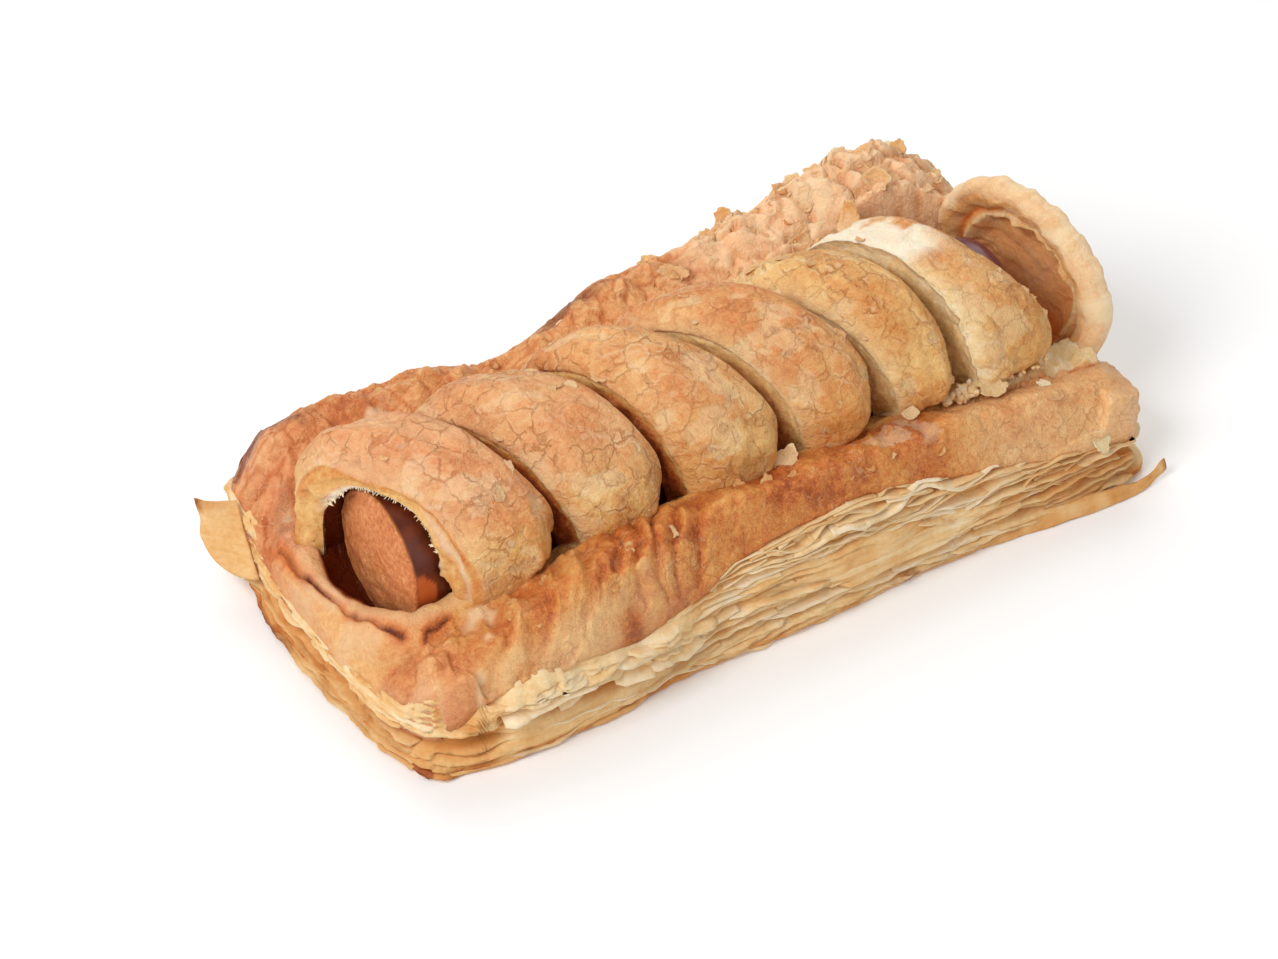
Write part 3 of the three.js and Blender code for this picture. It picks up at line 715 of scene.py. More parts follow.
# the flaky walls under the glaze
walls = {
    "stations": 820, "rows": 112, "wallRows": 86, "overRows": 18, "over": 5.0, "under": 1.5,
    "pitch": 1.75,
    # how far the wall stands out at each height, and the height of the gap near the open end
    "rowOut": [(0, 0.2), (2.7, 0.6), (5.4, -1.7), (8.1, 0.1), (10.8, -1.1), (13.5, 0.3), (16.2, -0.9),
               (19, 0.0)],
    "gapHeight": [(-72, 9.5), (-62, 10.2), (-55, 9.6), (-48, 8.7), (-40, 8.0), (-30, 6.6), (-20, 6.4),
                  (-5, 6.0)],
    "smoothing": 6,  # stations on either side that the way out is taken from
}


def outline():  # places along the foot and the shoulder of the case, evenly spaced, and the way out at each
    t, one = np.linspace(-1, 1, 401)[:-1], np.ones(400)
    p = np.concatenate([t, one, -t, -one, [-1]])
    q = np.concatenate([-one, t, one, -t, [-1]])
    x, y = planPoint(p, q, roll["nearCorner"], roll["farCorner"])
    run = np.concatenate([[0], np.cumsum(np.hypot(np.diff(x), np.diff(y)))])
    at = np.linspace(0, run[-1], walls["stations"] + 1)
    p, q = np.interp(at, run, p), np.interp(at, run, q)
    top = np.column_stack(planPoint(p, q, roll["nearCorner"], roll["farCorner"]))
    low = np.column_stack(planPoint(p, q, roll["baseCorner"], roll["baseCorner"]))
    tangent = np.roll(top[:-1], -walls["smoothing"], axis=0) - np.roll(top[:-1], walls["smoothing"], axis=0)
    tangent /= np.linalg.norm(tangent, axis=1)[:, None]
    out = np.column_stack([tangent[:, 1], -tangent[:, 0]])
    return at, top, low, np.vstack([out, out[:1]])


def layerRelief(s, z, x, y, nearSide, openEnd):  # how far the layers stand out (+) or in (-), and their looks
    warp = 2.3 * wander(s, 1.4 * z, 19, 51) + 1.0 * wander(s, 1.8 * z, 7, 52)
    t = (z + warp) / walls["pitch"] + 0.35 * wander(0.7 * s, 3 * z, 9, 77)
    k = np.floor(t)
    f = t - k
    own = 0.95 * wander(s + 37 * k, 11 * k, 8, 53) + 0.45 * wander(s + 19 * k, 7 * k, 2.6, 54)
    parted = step(wander(s + 23 * k, 5 * k, 12, 55), -0.1, 0.5)
    leafy = own + 0.7 * (1 - np.abs(2 * f - 1) ** 3) - 2.0 * parted * (bell(f, 0.0, 0.2) + bell(f, 1.0, 0.12))
    fine = 0.16 * np.sin(2 * math.pi * (z + 0.7 * warp + 0.3 * wander(s, z, 1.6, 56)) / 0.62)
    out = np.interp(z, *np.array(walls["rowOut"]).T) + leafy * 0.8 + fine
    tone = 0.30 + 0.30 * (chance(k + 50, k * 0, 57) - 0.5) + 0.26 * rough(s, z, 7, 58)
    # near side, open end: a bulging blistered layer over a deep gap, then one smooth sheet
    lobes = nearSide * between(x, -63, -57, -24, -12)
    gap = along(walls["gapHeight"], x) + 0.7 * wander(s, 0, 6, 59) + 0.35 * wander(s, 0, 2.2, 60)
    above = step(z, gap + 0.1, gap + 1.1)
    first, _, number, _, _ = cells(s + wander(s, z, 3, 61), z * 1.2 + wander(s, z, 3, 62), 5.2, 63)
    lobe = above * (1.2 + 2.2 * (0.5 - first) + 0.6 * (number - 0.5) + 0.5 * wrinkles(s, z, 3, 70))
    sheet = (1 - above) * lerp(1.8, -1.2, share(z / gap)) * step(z, 1.5, 3.5)
    smooth = (1 - above) * step(z, 2.0, 3.2) * 0.9
    cut = 6.4 * bell(z, gap - 0.2, 1.3) * step(x, -66, -58)
    out = lerp(out, out * (1 - smooth) * 0.45 + lobe + sheet - cut, lobes)
    tone = lerp(tone, 0.30 - 0.04 * above + 0.12 * (1 - above) + 0.14 * rough(s, z, 4, 64), lobes)
    # past it, calm places where one thick soft layer bulges out with a few folds
    calm = nearSide * step(x, -4, 8) * step(wander(s, 2.2 * z, 15, 78), -0.45, 0.05)
    calm = calm * between(z, 4.0, 6.0, 12, 16)
    bulge = 1.0 + 1.3 * wander(s, 1.6 * z, 9, 79) + 0.4 * wrinkles(0.5 * s, 1.6 * z, 3.8, 80)
    out = lerp(out, bulge, 0.9 * calm)
    # golden hollows, browner as painted shade, behind the thin sheets that hang just under the glaze
    topEdge = along(crust["nearEdge"], x)
    web = nearSide * step(x, -26, -16) * step(z, topEdge - 9.0, topEdge - 7.0)
    out = lerp(out, -1.7 + 0.5 * rough(s, z, 3, 65), 0.85 * web)
    # open end: a recess under the crust, darkened orange as painted shade, then thin low sheets
    openEnd = np.maximum(openEnd, fade(x, -64, -58) * step(-y, 24, 28))
    tone = tone + calm * 0.10 + web * 0.12 + 0.36 * nearSide * step(x, 42, 58) + 0.07 * openEnd
    recess = openEnd * between(z, 4.6, 5.6, 7.4, 8.8)
    out = lerp(out, -2.4, recess)
    pillow = openEnd * step(z, 7.6, 9.0)
    layered = 0.4 * np.sin(2 * math.pi * (z + warp) / 1.5) + 0.5 * wrinkles(s, 2.6 * z, 3.0, 72)
    layered = layered + 0.45 * rough(s, 1.5 * z, 1.6, 74)
    out = lerp(out, 0.5 + 0.6 * wander(s, z, 4, 71) + layered, 0.9 * pillow)
    tone = tone + 0.30 * openEnd * (1 - pillow) + 0.03 * pillow + 0.2 * pillow * rough(s, z, 3, 76)
    # nothing stands out above the glaze's torn edge
    out = lerp(out, -0.7, nearSide * step(z, topEdge - 2.8, topEdge - 0.2))
    foot = step(2.6 - z, 0, 1.2)
    # painted shade in the gap under the lobes: browner, and darker through the char mark
    hollow = lobes * bell(z, gap - 0.4, 1.1) * step(x, -66, -58)
    char = 0.8 * foot * step(rough(s, z, 5, 69), 0.15, 0.6)
    char = np.maximum(char, 0.6 * hollow * step(wander(s, 0, 6, 68), -0.4, 0.3))
    # painted shade: darker where the layers sink in, in the open end's recess and in the gap under the lobes
    deep = share(-out / 2.2) * (1 - 0.5 * web) + 0.5 * recess + 0.6 * hollow
    return out, {"toast": share(tone + 0.45 * hollow + 0.25 * foot), "deep": share(deep), "char": char}


def makeWalls():
    last, overRows = walls["wallRows"], walls["overRows"]
    bm = newGrid(walls["stations"], walls["rows"])
    grid = spots(bm)
    station = np.rint((grid[:, 0] + 1) / 2 * walls["stations"]).astype(int)
    row = np.rint((grid[:, 1] + 1) / 2 * walls["rows"]).astype(int)
    run, top, low, outwards = [part[station] for part in outline()]
    topX, topY, lowX, lowY, outX, outY = *top.T, *low.T, *outwards.T
    w = share(row / last)
    inward = share((row - last) / overRows)
    back = share((row - last - overRows) / (walls["rows"] - last - overRows))
    shoulder = caseHeight(topX, topY) - walls["under"]
    over = walls["over"] * inward
    x, y = lerp(lowX, topX, w) - outX * over, lerp(lowY, topY, w) - outY * over
    z = np.where(row > last, caseHeight(x, y) - walls["under"] - 0.5 * inward, shoulder * w)
    nearSide, openEnd = step(-outY, 0.6, 0.9), step(-outX, 0.75, 0.95)
    out, marks = layerRelief(run, np.where(row > last, shoulder + over, z), x, y, nearSide, openEnd)
    torn = nearSide * between(x, 58, 66, 69, 73) * fade(z, 3.5, 6)
    # the layers fade out round the shoulder, where they turn up under the glaze
    lean = share((row - last + 8) / 20) * math.pi / 2
    out = (out - torn) * (1 - 0.8 * inward) * (0.35 + 0.65 * step(row, 0, 3)) + 0.25 * inward
    x, y = x + outX * out * np.cos(lean), y + outY * out * np.cos(lean)
    z = np.maximum(z + out * np.sin(lean) * 0.6, 0)
    # the hidden back of the ring goes down inside the case and meets the foot again
    hidden = walls["over"] + 0.5
    x = np.where(back > 0, lerp(topX - outX * hidden, lowX - outX * 4, back), x)
    y = np.where(back > 0, lerp(topY - outY * hidden, lowY - outY * 4, back), y)
    z = np.where(back > 0, lerp(shoulder - 2, 0.4, back), z)
    # the last row closes on the first, and the last station on the first
    places = np.column_stack([x, y, z])
    net = np.empty((walls["stations"] + 1, walls["rows"] + 1), int)
    net[station, row] = np.arange(len(places))
    places[net[:, -1]] = places[net[:, 0]]
    places[net[-1]] = places[net[0]]
    moveAll(bm, places, marks)
    finishPiece("flakyWalls", bm, flakyFinish, merge=0.002)


makeWalls()
print("walls done")


# the base sheet the roll stands on
base = {"columns": 200, "rows": 96, "thick": 1.1, "rimRows": 5, "ragged": 0.7}


def makeBase():
    bm = rimmedGrid(base["columns"], base["rows"], base["rimRows"])
    grid, rows = spots(bm), rowsOf(bm)
    x, y = planPoint(grid[:, 0], grid[:, 1], roll["baseCorner"], roll["baseCorner"])
    t = rows / base["rimRows"]
    outX, outY = outward(grid)
    tear = base["ragged"] * (1 - 0.5 * step(-x, 60, 66)) * rough(x, y, 5, 71, 4)
    bulge = 0.5 * np.sin(math.pi * t) + tear + 0.3
    x, y = x + outX * bulge, y + outY * bulge
    torn = (outY < 0) * between(x, 58, 64, 71, 74.5) * 1.6
    moveAll(bm, np.column_stack([x, y + torn, base["thick"] * (1 - t)]), {
        "toast": 0.62 + 0.2 * rough(x, y, 9, 72) + 0.1 * t, "deep": 0.0,
        "char": 0.7 * step(rough(x, y, 6, 73), 0.2, 0.7)})
    finishPiece("baseSheet", bm, flakyFinish)


makeBase()
print("base done")


# the bands across the top
bands = {
    "count": 6, "columns": 62, "rows": 232, "flankRows": 12, "innerGap": 0.6, "least": 0.8,
    # how far each edge rounds over and how suddenly, at the crown and at the sides
    "leftCrown": [8.8, 5.4, 5.0, 5.0, 5.2, 0.9], "leftSide": [0.9, 4.2, 4.2, 4.0, 3.2, 1.4],
    "leftPower": [3.0, 2.3, 2.3, 2.3, 2.2, 7.0],
    "rightCrown": [2.9, 2.9, 2.9, 2.9, 2.9, 8.2], "rightSide": [2.9, 2.9, 2.9, 2.9, 2.9, 3.4],
    "rightPower": [3.0, 3.0, 3.0, 3.0, 3.0, 1.8], "rightFoot": [2.4, 2.4, 2.4, 2.4, 2.4, 0.0],
    "lean": [0.0, 1.8, 1.8, 1.7, 1.3, 0.7],
    "plate": 4.6, "ledge": 0.22,
    # how baked each band is on its crown and at its near foot, and how pink its crown is
    "crown": [0.58, 0.54, 0.53, 0.64, 0.51, 0.50], "foot": [0.56, 0.44, 0.45, 0.63, 0.48, 0.44],
    "blush": [0.9, 0.7, 0.45, 0.4, 0.1, 0.35],
    # how far the near foot's right corner moves along, and how early it ends
    "cornerMoves": [2.0, 1.0, 0.4, 0.0, -0.4, 0.0], "cornerEnds": [0.24, 0.22, 0.10, 0.24, 0.26, 0.0],
    "footDepth": 4.2,
    # how pale each left slope is, and how strongly painted shade darkens the slit walls
    "slopePale": [0.5, 0.2, 0.0, 0.8, 1.1, 1.0], "slitShade": [1.3, 1.45, 1.3, 0.9, 0.55, 0.4],
    # the first band's edge at the mouth: its drop on the far side, the dough in front of the sausage's face
    "mouthDrop": 4.2, "mouthInner": 1.6, "mouthMoves": -2.6,
}


# a runs across the band, turn from its far foot to its near one, w from inside to outside
def bandPoint(index, a, turn, w, relief):
    own = {key: value[index] for key, value in bands.items() if isinstance(value, list)}
    atMouth = index == 0
    seed = index + 1
    across = 0.5 * np.sin(math.pi / 2 * a)
    arch = np.clip(turn, -math.pi / 2, math.pi / 2)
    leg = (np.abs(turn) - np.abs(arch)) * roll["domeRadius"]
    crown = np.cos(arch)
    leftDrop = lerp(own["leftSide"], own["leftCrown"], crown ** 2)
    leftDrop = lerp(leftDrop, bands["mouthDrop"], atMouth * step(-turn, 0.25, 0.9))
    rightDrop = lerp(own["rightSide"], own["rightCrown"], crown ** 2)
    rightDrop = rightDrop + own["rightFoot"] * step(turn, 0.8, 1.35)
    edge = np.abs(2 * across)
    drop = np.where(across < 0, leftDrop * edge ** own["leftPower"], rightDrop * edge ** own["rightPower"])
    outer = roll["domeRadius"] + roll["swell"][index] * crown - drop
    # the near foot ends in a blunt rounded tip, sooner at its right corner
    tip = 1.50 - own["cornerEnds"] * share(across + 0.5) ** 1.5 + 0.03 * wander(60 * across, 0, 8, seed + 60)
    tip = tip + atMouth * 0.35 * share(-2 * across)
    outer = outer - bands["footDepth"] * step(turn, tip - 0.08, tip + 0.16) ** 1.5
    outer = outer + 0.45 * ripple(30 * across + 9 * seed, 12 * turn, seed) + relief
    inner = roll["sausageRadius"] + bands["innerGap"]
    inner = inner - atMouth * bands["mouthInner"] * step(-a, 0.5, 0.85) * step(-turn, 0.35, 0.9)
    radius = lerp(inner, np.maximum(outer, inner + bands["least"]), w)
    y = -radius * np.sin(arch)
    z = roll["domeHeight"] + radius * crown - leg
    # both edges follow their slits, apart from the foot's corners and a lean outwards
    (fromX, fromSlant), (toX, toSlant) = roll["slits"][index:index + 2]
    low, high = fromX + (0 if atMouth else roll["slitWidth"]) - fromSlant * y, toX - toSlant * y
    toLeft, toRight = share(-a), share(a)
    moved = own["cornerMoves"] * bell(turn, 1.15, 0.4) * toRight ** 2
    moved = moved - 2.4 * share((turn - 1.15) / 0.4) ** 2 * toRight ** 3
    if atMouth:
        moved = moved + bands["mouthMoves"] * step(turn, 0.3, 1.1) * toLeft ** 2
    else:
        moved = moved + bands["cornerMoves"][index - 1] * step(turn, 0.75, 1.4) * toLeft ** 2
        moved = moved + 0.8 * step(turn, 1.2, 1.6) * toLeft ** 3
    moved = moved + own["lean"] * w * toLeft ** 3
    return lerp(low, high, across + 0.5) + moved, y, z


def makeBand(index):
    bm = newGrid(bands["columns"], bands["rows"])
    numberRow(bm, bm.verts, 0)
    faces, keep = bm.faces[:], True
    for k in range(1, bands["flankRows"] + 1):
        made = bmesh.ops.extrude_face_region(bm, geom=faces, use_keep_orig=keep)["geom"]
        numberRow(bm, made, k)
        if not keep:
            bmesh.ops.delete(bm, geom=faces, context="FACES_ONLY")
        faces, keep = only(bmesh.types.BMFace, made), False
    grid, rows = spots(bm), rowsOf(bm)
    a, turn = grid[:, 0], grid[:, 1] * (math.pi / 2 + roll["bandLeg"] / roll["domeRadius"])
    w = rows / bands["flankRows"]
    depth, top = 1 - w, rows == bands["flankRows"]
    u, v = 0.5 * np.sin(math.pi / 2 * a) * 19 + 60 * index, turn * 22.0
    height = np.cos(np.clip(turn, -math.pi / 2, math.pi / 2))
    # puffed plates of glaze, smaller ones towards the feet, peeled patches between
    bentU, bentV = u + 1.5 * rough(u, v, 3.6, 81, 4), v + 1.5 * rough(u, v, 3.6, 83, 4)
    first, edge, number, _, _ = cells(bentU, bentV * 0.66, bands["plate"], 84 + index)
    firstSmall = cells(bentU + 40, bentV * 0.8, bands["plate"] * 0.5, 94 + index)[0]
    present = step(rough(u, v, 8, 85), -0.35, 0.2)
    small = step(wander(u, v, 6, 86) + 0.9 * step(turn, 0.5, 1.3), 0.1, 0.7)
    peeled = step(rough(u, v, 6.5, 87, 4), 0.36, 0.42) * fade(np.abs(a), 0.8, 0.95)
    broad = rough(u, v, 7, 88)
    crack = fade(edge * bands["plate"], 0.05, 0.4) * present * step(wander(u, v, 5, 97), -0.2, 0.5)
    relief = (
        -0.14 * crack + bands["ledge"] * (number - 0.5) * present + 0.30 * (0.5 - first)
        + 0.30 * small * (0.5 - firstSmall) + 0.50 * broad + 0.16 * rough(u, v, 1.5, 89) - 0.30 * peeled
    )
    x, y, z = bandPoint(index, a, turn, w, relief * (1 - 0.5 * step(np.abs(a), 0.75, 1.0)) * w)
    # flanks: a little in and out, the open mouth's edge more than the rest
    mouthEdge = (index == 0) * onBorder(a) * (a < 0)
    wave = 0.4 * np.sin(9 * w + 2 * wander(v, 5 * w, 7, 93))
    wave = wave + (0.8 + 1.2 * step(-turn, 0.2, 1.0)) * np.sin(math.pi * w)
    out = 0.5 * wander(v, 9 * w + 40 * index, 4, 90) + 0.25 * wander(v, 24 * w, 1.5, 92)
    out = out - 0.3 * np.sin(math.pi * w) + mouthEdge * wave
    x = x + np.sign(a) * (onBorder(a) & ~top) * out
    lastBand = index == bands["count"] - 1
    ragged = lastBand * (a < -0.9) * step(w, 0.8, 1.0)
    x = x + ragged * (0.7 * rough(v, 0, 2.4, 98, 4) - 0.5)
    # glaze on top, lighter on its slopes
    crown, foot, blush, slitShade = [bands[k][index] for k in ("crown", "foot", "blush", "slitShade")]
    leftEdge = bands["slopePale"][index] * step(-a, 0.25, 0.95)
    glazed = lerp(foot, crown, step(height, 0.3, 0.95)) + 0.16 * broad + 0.16 * (number - 0.5) * present
    glazed = glazed - 0.10 * peeled + 0.10 * rough(u, v, 14, 95)
    glazed = glazed - 0.27 * leftEdge + 0.05 * step(a, 0.45, 0.95)
    # the walls of the slits, with painted shade: browner further down and towards the near foot; and the torn
    # crumb at the mouth
    wall = 0.12 + (0.45 + 0.35 * step(turn, -0.5, 0.5)) * share(1.5 * depth) * slitShade
    wall = wall + 0.12 * (a > 0) * slitShade + 0.25 * (slitShade - 0.8)
    crumb = 0.42 + 0.20 * step(w, 0.35, 0.9) + 0.14 * wander(v, 7 * w, 3, 94)
    crumb = crumb + 0.10 * np.sin(16 * w + 2 * wander(v, 5 * w, 6, 93)) * step(turn, 0.2, 0.8)
    toast = np.where(top, glazed, np.where(mouthEdge, crumb, wall))
    bare = 0.0
    if lastBand:  # it has lost its glaze at the top left
        bare = step(-a + 0.42 * rough(u, v, 5, 91, 4), -0.1, 0.08)
        bare = bare * step(-turn + 0.3 * wander(u, v, 5, 96), -0.35, -0.1) * step(turn, -1.15, -0.8)
    paleRim = bell(edge * bands["plate"], 0.8, 0.3) * step(number, 0.5, 0.7) * present
    paleMark = 0.8 * bare + 0.34 * leftEdge * (1 - bare) + 0.30 * paleRim + 0.22 * peeled
    whiteCrumb = 0.9 * fade(w, 0.05, 0.22) * step(height, 0.2, 0.7)
    whiteCrumb = whiteCrumb + 0.4 * bell(w, 0.62, 0.1) * step(turn, 0.2, 0.8)
    # painted shade: the slit walls grow dark through the char mark further down, less so at the foot
    darkening = 0.35 + 0.5 * step(turn, -0.5, 0.5) - 0.6 * step(turn, 0.9, 1.3)
    darkening = ~mouthEdge * slitShade * step(depth, 0.25, 0.9) * darkening
    # the inner face over the sausage is darkened through the char mark, except near the near foot
    underside = fade(turn, 0.7, 1.0) * (rows == 0) * (a > -0.97) * (a < 0.9)
    unbroken, pinkShare = top * (1 - bare), 1 - 0.5 * leftEdge * step(turn, -0.4, 0.4)
    crazing = 0.55 + 0.45 * step(wander(u, v, 9, 99), -0.4, 0.2)
    moveAll(bm, np.column_stack([x, y, z]), {
        "toast": share(toast),
        "crack": share(0.5 * crack) * top * (1 - 0.8 * bare),
        "pale": share(paleMark * top + ~top * ~mouthEdge * 0.25 * w * max(1.3 - slitShade, 0)),
        "raw": share(0.5 * bare * top + ~top * mouthEdge * whiteCrumb),
        "char": share(~top * darkening + underside),
        "crazed": unbroken * (1 - 0.7 * leftEdge) * crazing,
        "blush": blush * step(height, 0.35, 0.9) * unbroken * pinkShare,
    })
    finishPiece("band" + str(index + 1), bm, bandFinish)


for index in range(bands["count"]):
    makeBand(index)
print("bands done")


# the hood over the closed end
hood = {
    "x": 68.3, "slant": 0.22, "side": 2.0, "height": 22.3, "rim": 19.9, "turns": 220, "steps": 6,
    # radius and depth behind the rim, from the middle of the outer face over the rim into the hollow
    "profile": [(0, 5.4), (9, 5.2), (16, 4.6), (19.4, 3.2), (20, 1.4), (19.6, -0.1), (18.4, -1.1),
                (17.0, -1.3), (15.6, -0.8), (14.8, 0.2), (14.4, 1.0), (13.9, 1.0), (13.3, 0.3), (12.7, 0.2),
                (12.1, 1.0), (11.2, 2.4), (9.0, 3.4), (5.0, 3.7), (0, 3.6)],
    "profileRim": 20.0,
}


def makeHood():
    points = np.array(hood["profile"]) * [hood["rim"] / hood["profileRim"], 1]
    knots = np.arange(len(points))
    t = np.linspace(0, knots[-1], knots[-1] * hood["steps"] + 1)
    radius, depth = [along(list(zip(knots, points[:, k])), t) for k in (0, 1)]
    radius = np.maximum(radius, 0)
    radius[[0, -1]] = 0
    bm = bmesh.new()
    chain = [bm.verts.new((r, 0, d)) for r, d in zip(radius, depth)]
    edges = [bm.edges.new(pair) for pair in zip(chain, chain[1:])]
    bmesh.ops.spin(bm, geom=chain + edges, axis=(0, 0, 1), cent=(0, 0, 0), angle=2 * math.pi,
                   steps=hood["turns"], use_merge=True)
    bmesh.ops.remove_doubles(bm, verts=bm.verts[:], dist=0.0005)
    y, z, back = spots(bm).T
    r, turn = np.hypot(y, z), np.arctan2(z, y)
    s = turn * 18
    uneven = 0.5 * ripple(3 * y, 3 * z, 21)
    inFace = (r < 17.3) & (back < 4.65 - 0.09 * np.maximum(r - 5, 0))
    outside = 1 - inFace
    rimward = step(r, 4, 10)
    relief = (0.35 * rough(s, r, 5, 101) + 0.14 * rough(s, r, 1.6, 102)) * rimward
    relief = relief + 0.4 * rough(y, z, 5, 111) * (1 - rimward)
    rays = wrinkles(s, 0.4 * r, 3.4, 109)
    radial = 0.4 * np.sin(turn * 7 + 3.0 * wander(s, r, 8, 103)) + 0.4 * rays
    radial = radial * between(r, 8.5, 11.5, 12.4, 14.0) + 0.5 * wander(y, z, 5, 110) * fade(r, 8, 11)
    behind = back + relief * np.where(inFace, 1, -1) * 0.8 + inFace * radial
    x = hood["x"] + behind - hood["slant"] * y * step(z, -12, 4)
    grow = 1 + (relief * 0.8 * step(r, 15, 18)) / 20
    # darker along the groove behind the rim; a painted glow there and in the hollow, with painted shade
    # browning the hollow towards its foot
    groove = bell(r, 14.3, 0.5) * (back < 2.0)
    innerRoll = bell(r, 16.3, 1.5) * (back < 1.0)
    hollow = inFace * fade(r, 12.0, 13.4)
    low = step(-z, 2, 12) + step(-y, 4, 13) * 0.3
    edge = cells(s + wander(s, r, 3, 105), 1.2 * r + wander(s, r, 3, 106), 3.6, 107)[1]
    toast = 0.17 + 0.04 * hollow + 0.12 * hollow * low + 0.14 * rough(y, z, 6, 104)
    toast = toast - 0.14 * (back > 1.0) * outside
    pale = 0.6 * step(rough(y, z, 5, 108), 0.1, 0.6) * (1 - 0.3 * hollow) + 0.15 * hollow + 0.25 * outside
    ember = 0.45 * hollow + 0.7 * hollow * low + 0.5 * groove + 0.12 * innerRoll
    places = [x + uneven * 0.5, hood["side"] + y * grow, hood["height"] + z * grow + uneven]
    moveAll(bm, np.column_stack(places), {
        "toast": share(toast + 0.12 * groove + 0.22 * innerRoll),
        "crack": share(0.8 * groove + 0.35 * fade(edge, 0.03, 0.15) * outside * rimward),
        "pale": share(pale), "char": 0.0,
        "crazed": 0.25 * (1 - hollow),
        "blush": 0.8 * outside + 0.45 * inFace,
        "ember": share(ember - 0.3 * hollow * rimward * step(rays, 0.3, 0.9)),
    })
    finishPiece("hood", bm, hoodFinish)


makeHood()
print("hood done")


# the sausage
sausage = {
    "steps": 330, "around": 144, "endRise": 1.4, "cornerRadius": 0.9, "endShare": 0.7, "parts": 8,
    "tornReach": 3.6,
    "meat": [(0.2, linear(168, 80, 36)), (0.5, linear(214, 128, 70)), (0.8, linear(240, 172, 116))],
    "casing": [(0.3, linear(72, 22, 10)), (0.7, linear(116, 50, 22))],
    "tip": linear(108, 54, 56), "torn": linear(190, 92, 40),
}


def casedMeat():
    sheet = Sheet("smoked sausage")
    face, torn = sheet.mark("face"), sheet.mark("torn")
    crumb = sheet.noise(0.9, 4.0, 0.65)
    fine = sheet.noise(0.3, 2.0, 0.6)
    patches = sheet.noise(5.0, 3.0, 0.5)
    meat = sheet.ramp(crumb * 0.9 + fine * 0.3 + patches * 0.4 - 0.3, sausage["meat"])
    casing = sheet.ramp(patches, sausage["casing"])
    casing = sheet.mix(sheet.mark("tip"), casing, sausage["tip"])
    casing = sheet.mix(torn, casing, sausage["torn"])
    colour = sheet.mix(face, casing, meat)
    roughness = 0.24 + 0.34 * face + 0.12 * crumb
    return sheet.finish(colour, roughness, (crumb * 0.7 + fine * 0.4) * (face * 0.9 + 0.1), 0.35,
                        {"Specular IOR Level": 0.42, "Coat Weight": 0.08, "Coat Roughness": 0.2})


def makeSausage():
    bm = newGrid(sausage["steps"], sausage["around"])
    grid = spots(bm)
    t, turn = (grid[:, 0] + 1) / 2, grid[:, 1] * math.pi
    radius, start, end, domed = [roll[k] for k in ("sausageRadius", "sausageStart", "sausageEnd", "faceDome")]
    body, endLength, parts = start + sausage["cornerRadius"], sausage["endShare"] * radius, sausage["parts"]
    # part of the radius, place along the roll, and part of the rows that leads there
    shape = [(0, start - domed, 0), (0.55, start - 0.8 * domed, 0.10), (0.9, start - 0.15 * domed, 0.17),
             (1, body, 0.21)]
    shape += [(1, lerp(body, end - endLength, k / parts), 0.21 + 0.09 * k) for k in range(1, parts + 1)]
    shape += [((1 - (k / parts) ** 6) ** 0.5, end - endLength * (1 - k / parts), 0.93 + 0.07 * k / parts)
              for k in range(1, parts + 1)]
    r = along([(rows, radius * wide) for wide, _, rows in shape], t)
    x = along([(rows, place) for _, place, rows in shape], t)
    r = np.where(onBorder(grid[:, 0]), 0, np.maximum(r, 0))
    y, z = r * np.sin(turn), r * np.cos(turn)
    face = fade(x, start + 0.15, start + 0.75)
    grainy = face * (0.2 * rough(y, z, 1.3, 121) + 0.35 * rough(y, z, 4, 122))
    skin = (1 - face) * 0.10 * rough(x, turn * 12, 6, 123)
    grow = np.where(r > 0.01, (r + skin) / np.maximum(r, 0.01), 1)
    risen = sausage["endRise"] * step(x, 54, 61)
    places = [x - grainy, roll["sausageSide"] + y * grow, roll["sausageHeight"] + z * grow + risen]
    tornEdge = start + sausage["tornReach"]
    torn = (1 - face) * fade(x + 2.0 * wander(turn * 12, x, 2.4, 124), tornEdge, tornEdge + 0.3)
    torn = torn * step(-y, 5.5, 6.5) * step(-z, -5.0, -4.0)
    moveAll(bm, np.column_stack(places), {"face": face, "torn": share(torn), "tip": step(x, 48, 56)})
    finishPiece("sausageInCasing", bm, casedMeat(), "sausage", merge=0.002)


makeSausage()
print("sausage done")


# thin loose sheets: the layers that stand out of the walls, the flap, the peeled strip
loose = {
    "leafThick": 0.24, "flapThick": 0.5, "flakeThick": 0.13, "fibreThick": 0.12,
    "leafFrom": -70.0, "leafTo": 70.5,  # leaves end before the corners
    "leafPiece": 0.55, "leafRows": 5,
    # corners of the flap at the far corner of the open end: root top, tip top, tip bottom, root bottom
    "flap": [(-75.0, 29.5, 17.6), (-81.6, 31.2, 18.4), (-81.0, 31.0, 10.4), (-75.8, 20.5, 6.6)],
    # the middle line of the strip peeled off the near side's foot
    "strip": [(38.0, -32.4, 1.3), (48.0, -33.6, 1.5), (60.0, -34.9, 1.5), (70.0, -35.3, 1.3),
              (76.4, -34.0, 2.6)],
}


def newLoose(*marks):
    bm = bmesh.new()
    for name in marks:
        bm.verts.layers.float.new(name)
    return bm


def halved(u, v):  # from -1 to 1 into 0 to 1
    return (u + 1) / 2, (v + 1) / 2


def addSheet(bm, columns, rows, place, looks):  # place and looks take u and v, both from -1 to 1
    made = bmesh.ops.create_grid(bm, x_segments=columns, y_segments=rows, size=1)["verts"]
    u, v = np.array([tuple(vert.co) for vert in made]).T[:2]
    for vert, spot in zip(made, np.column_stack(place(u, v)).tolist()):
        vert.co = spot
    for name, values in looks(u, v).items():
        layer = bm.verts.layers.float[name]
        for vert, value in zip(made, np.broadcast_to(values, len(made)).tolist()):
            vert[layer] = min(max(value, 0.0), 1.0)


def finishLoose(name, bm, thick, material):
    bmesh.ops.solidify(bm, geom=bm.faces[:], thickness=thick)
    finishPiece(name, bm, material)


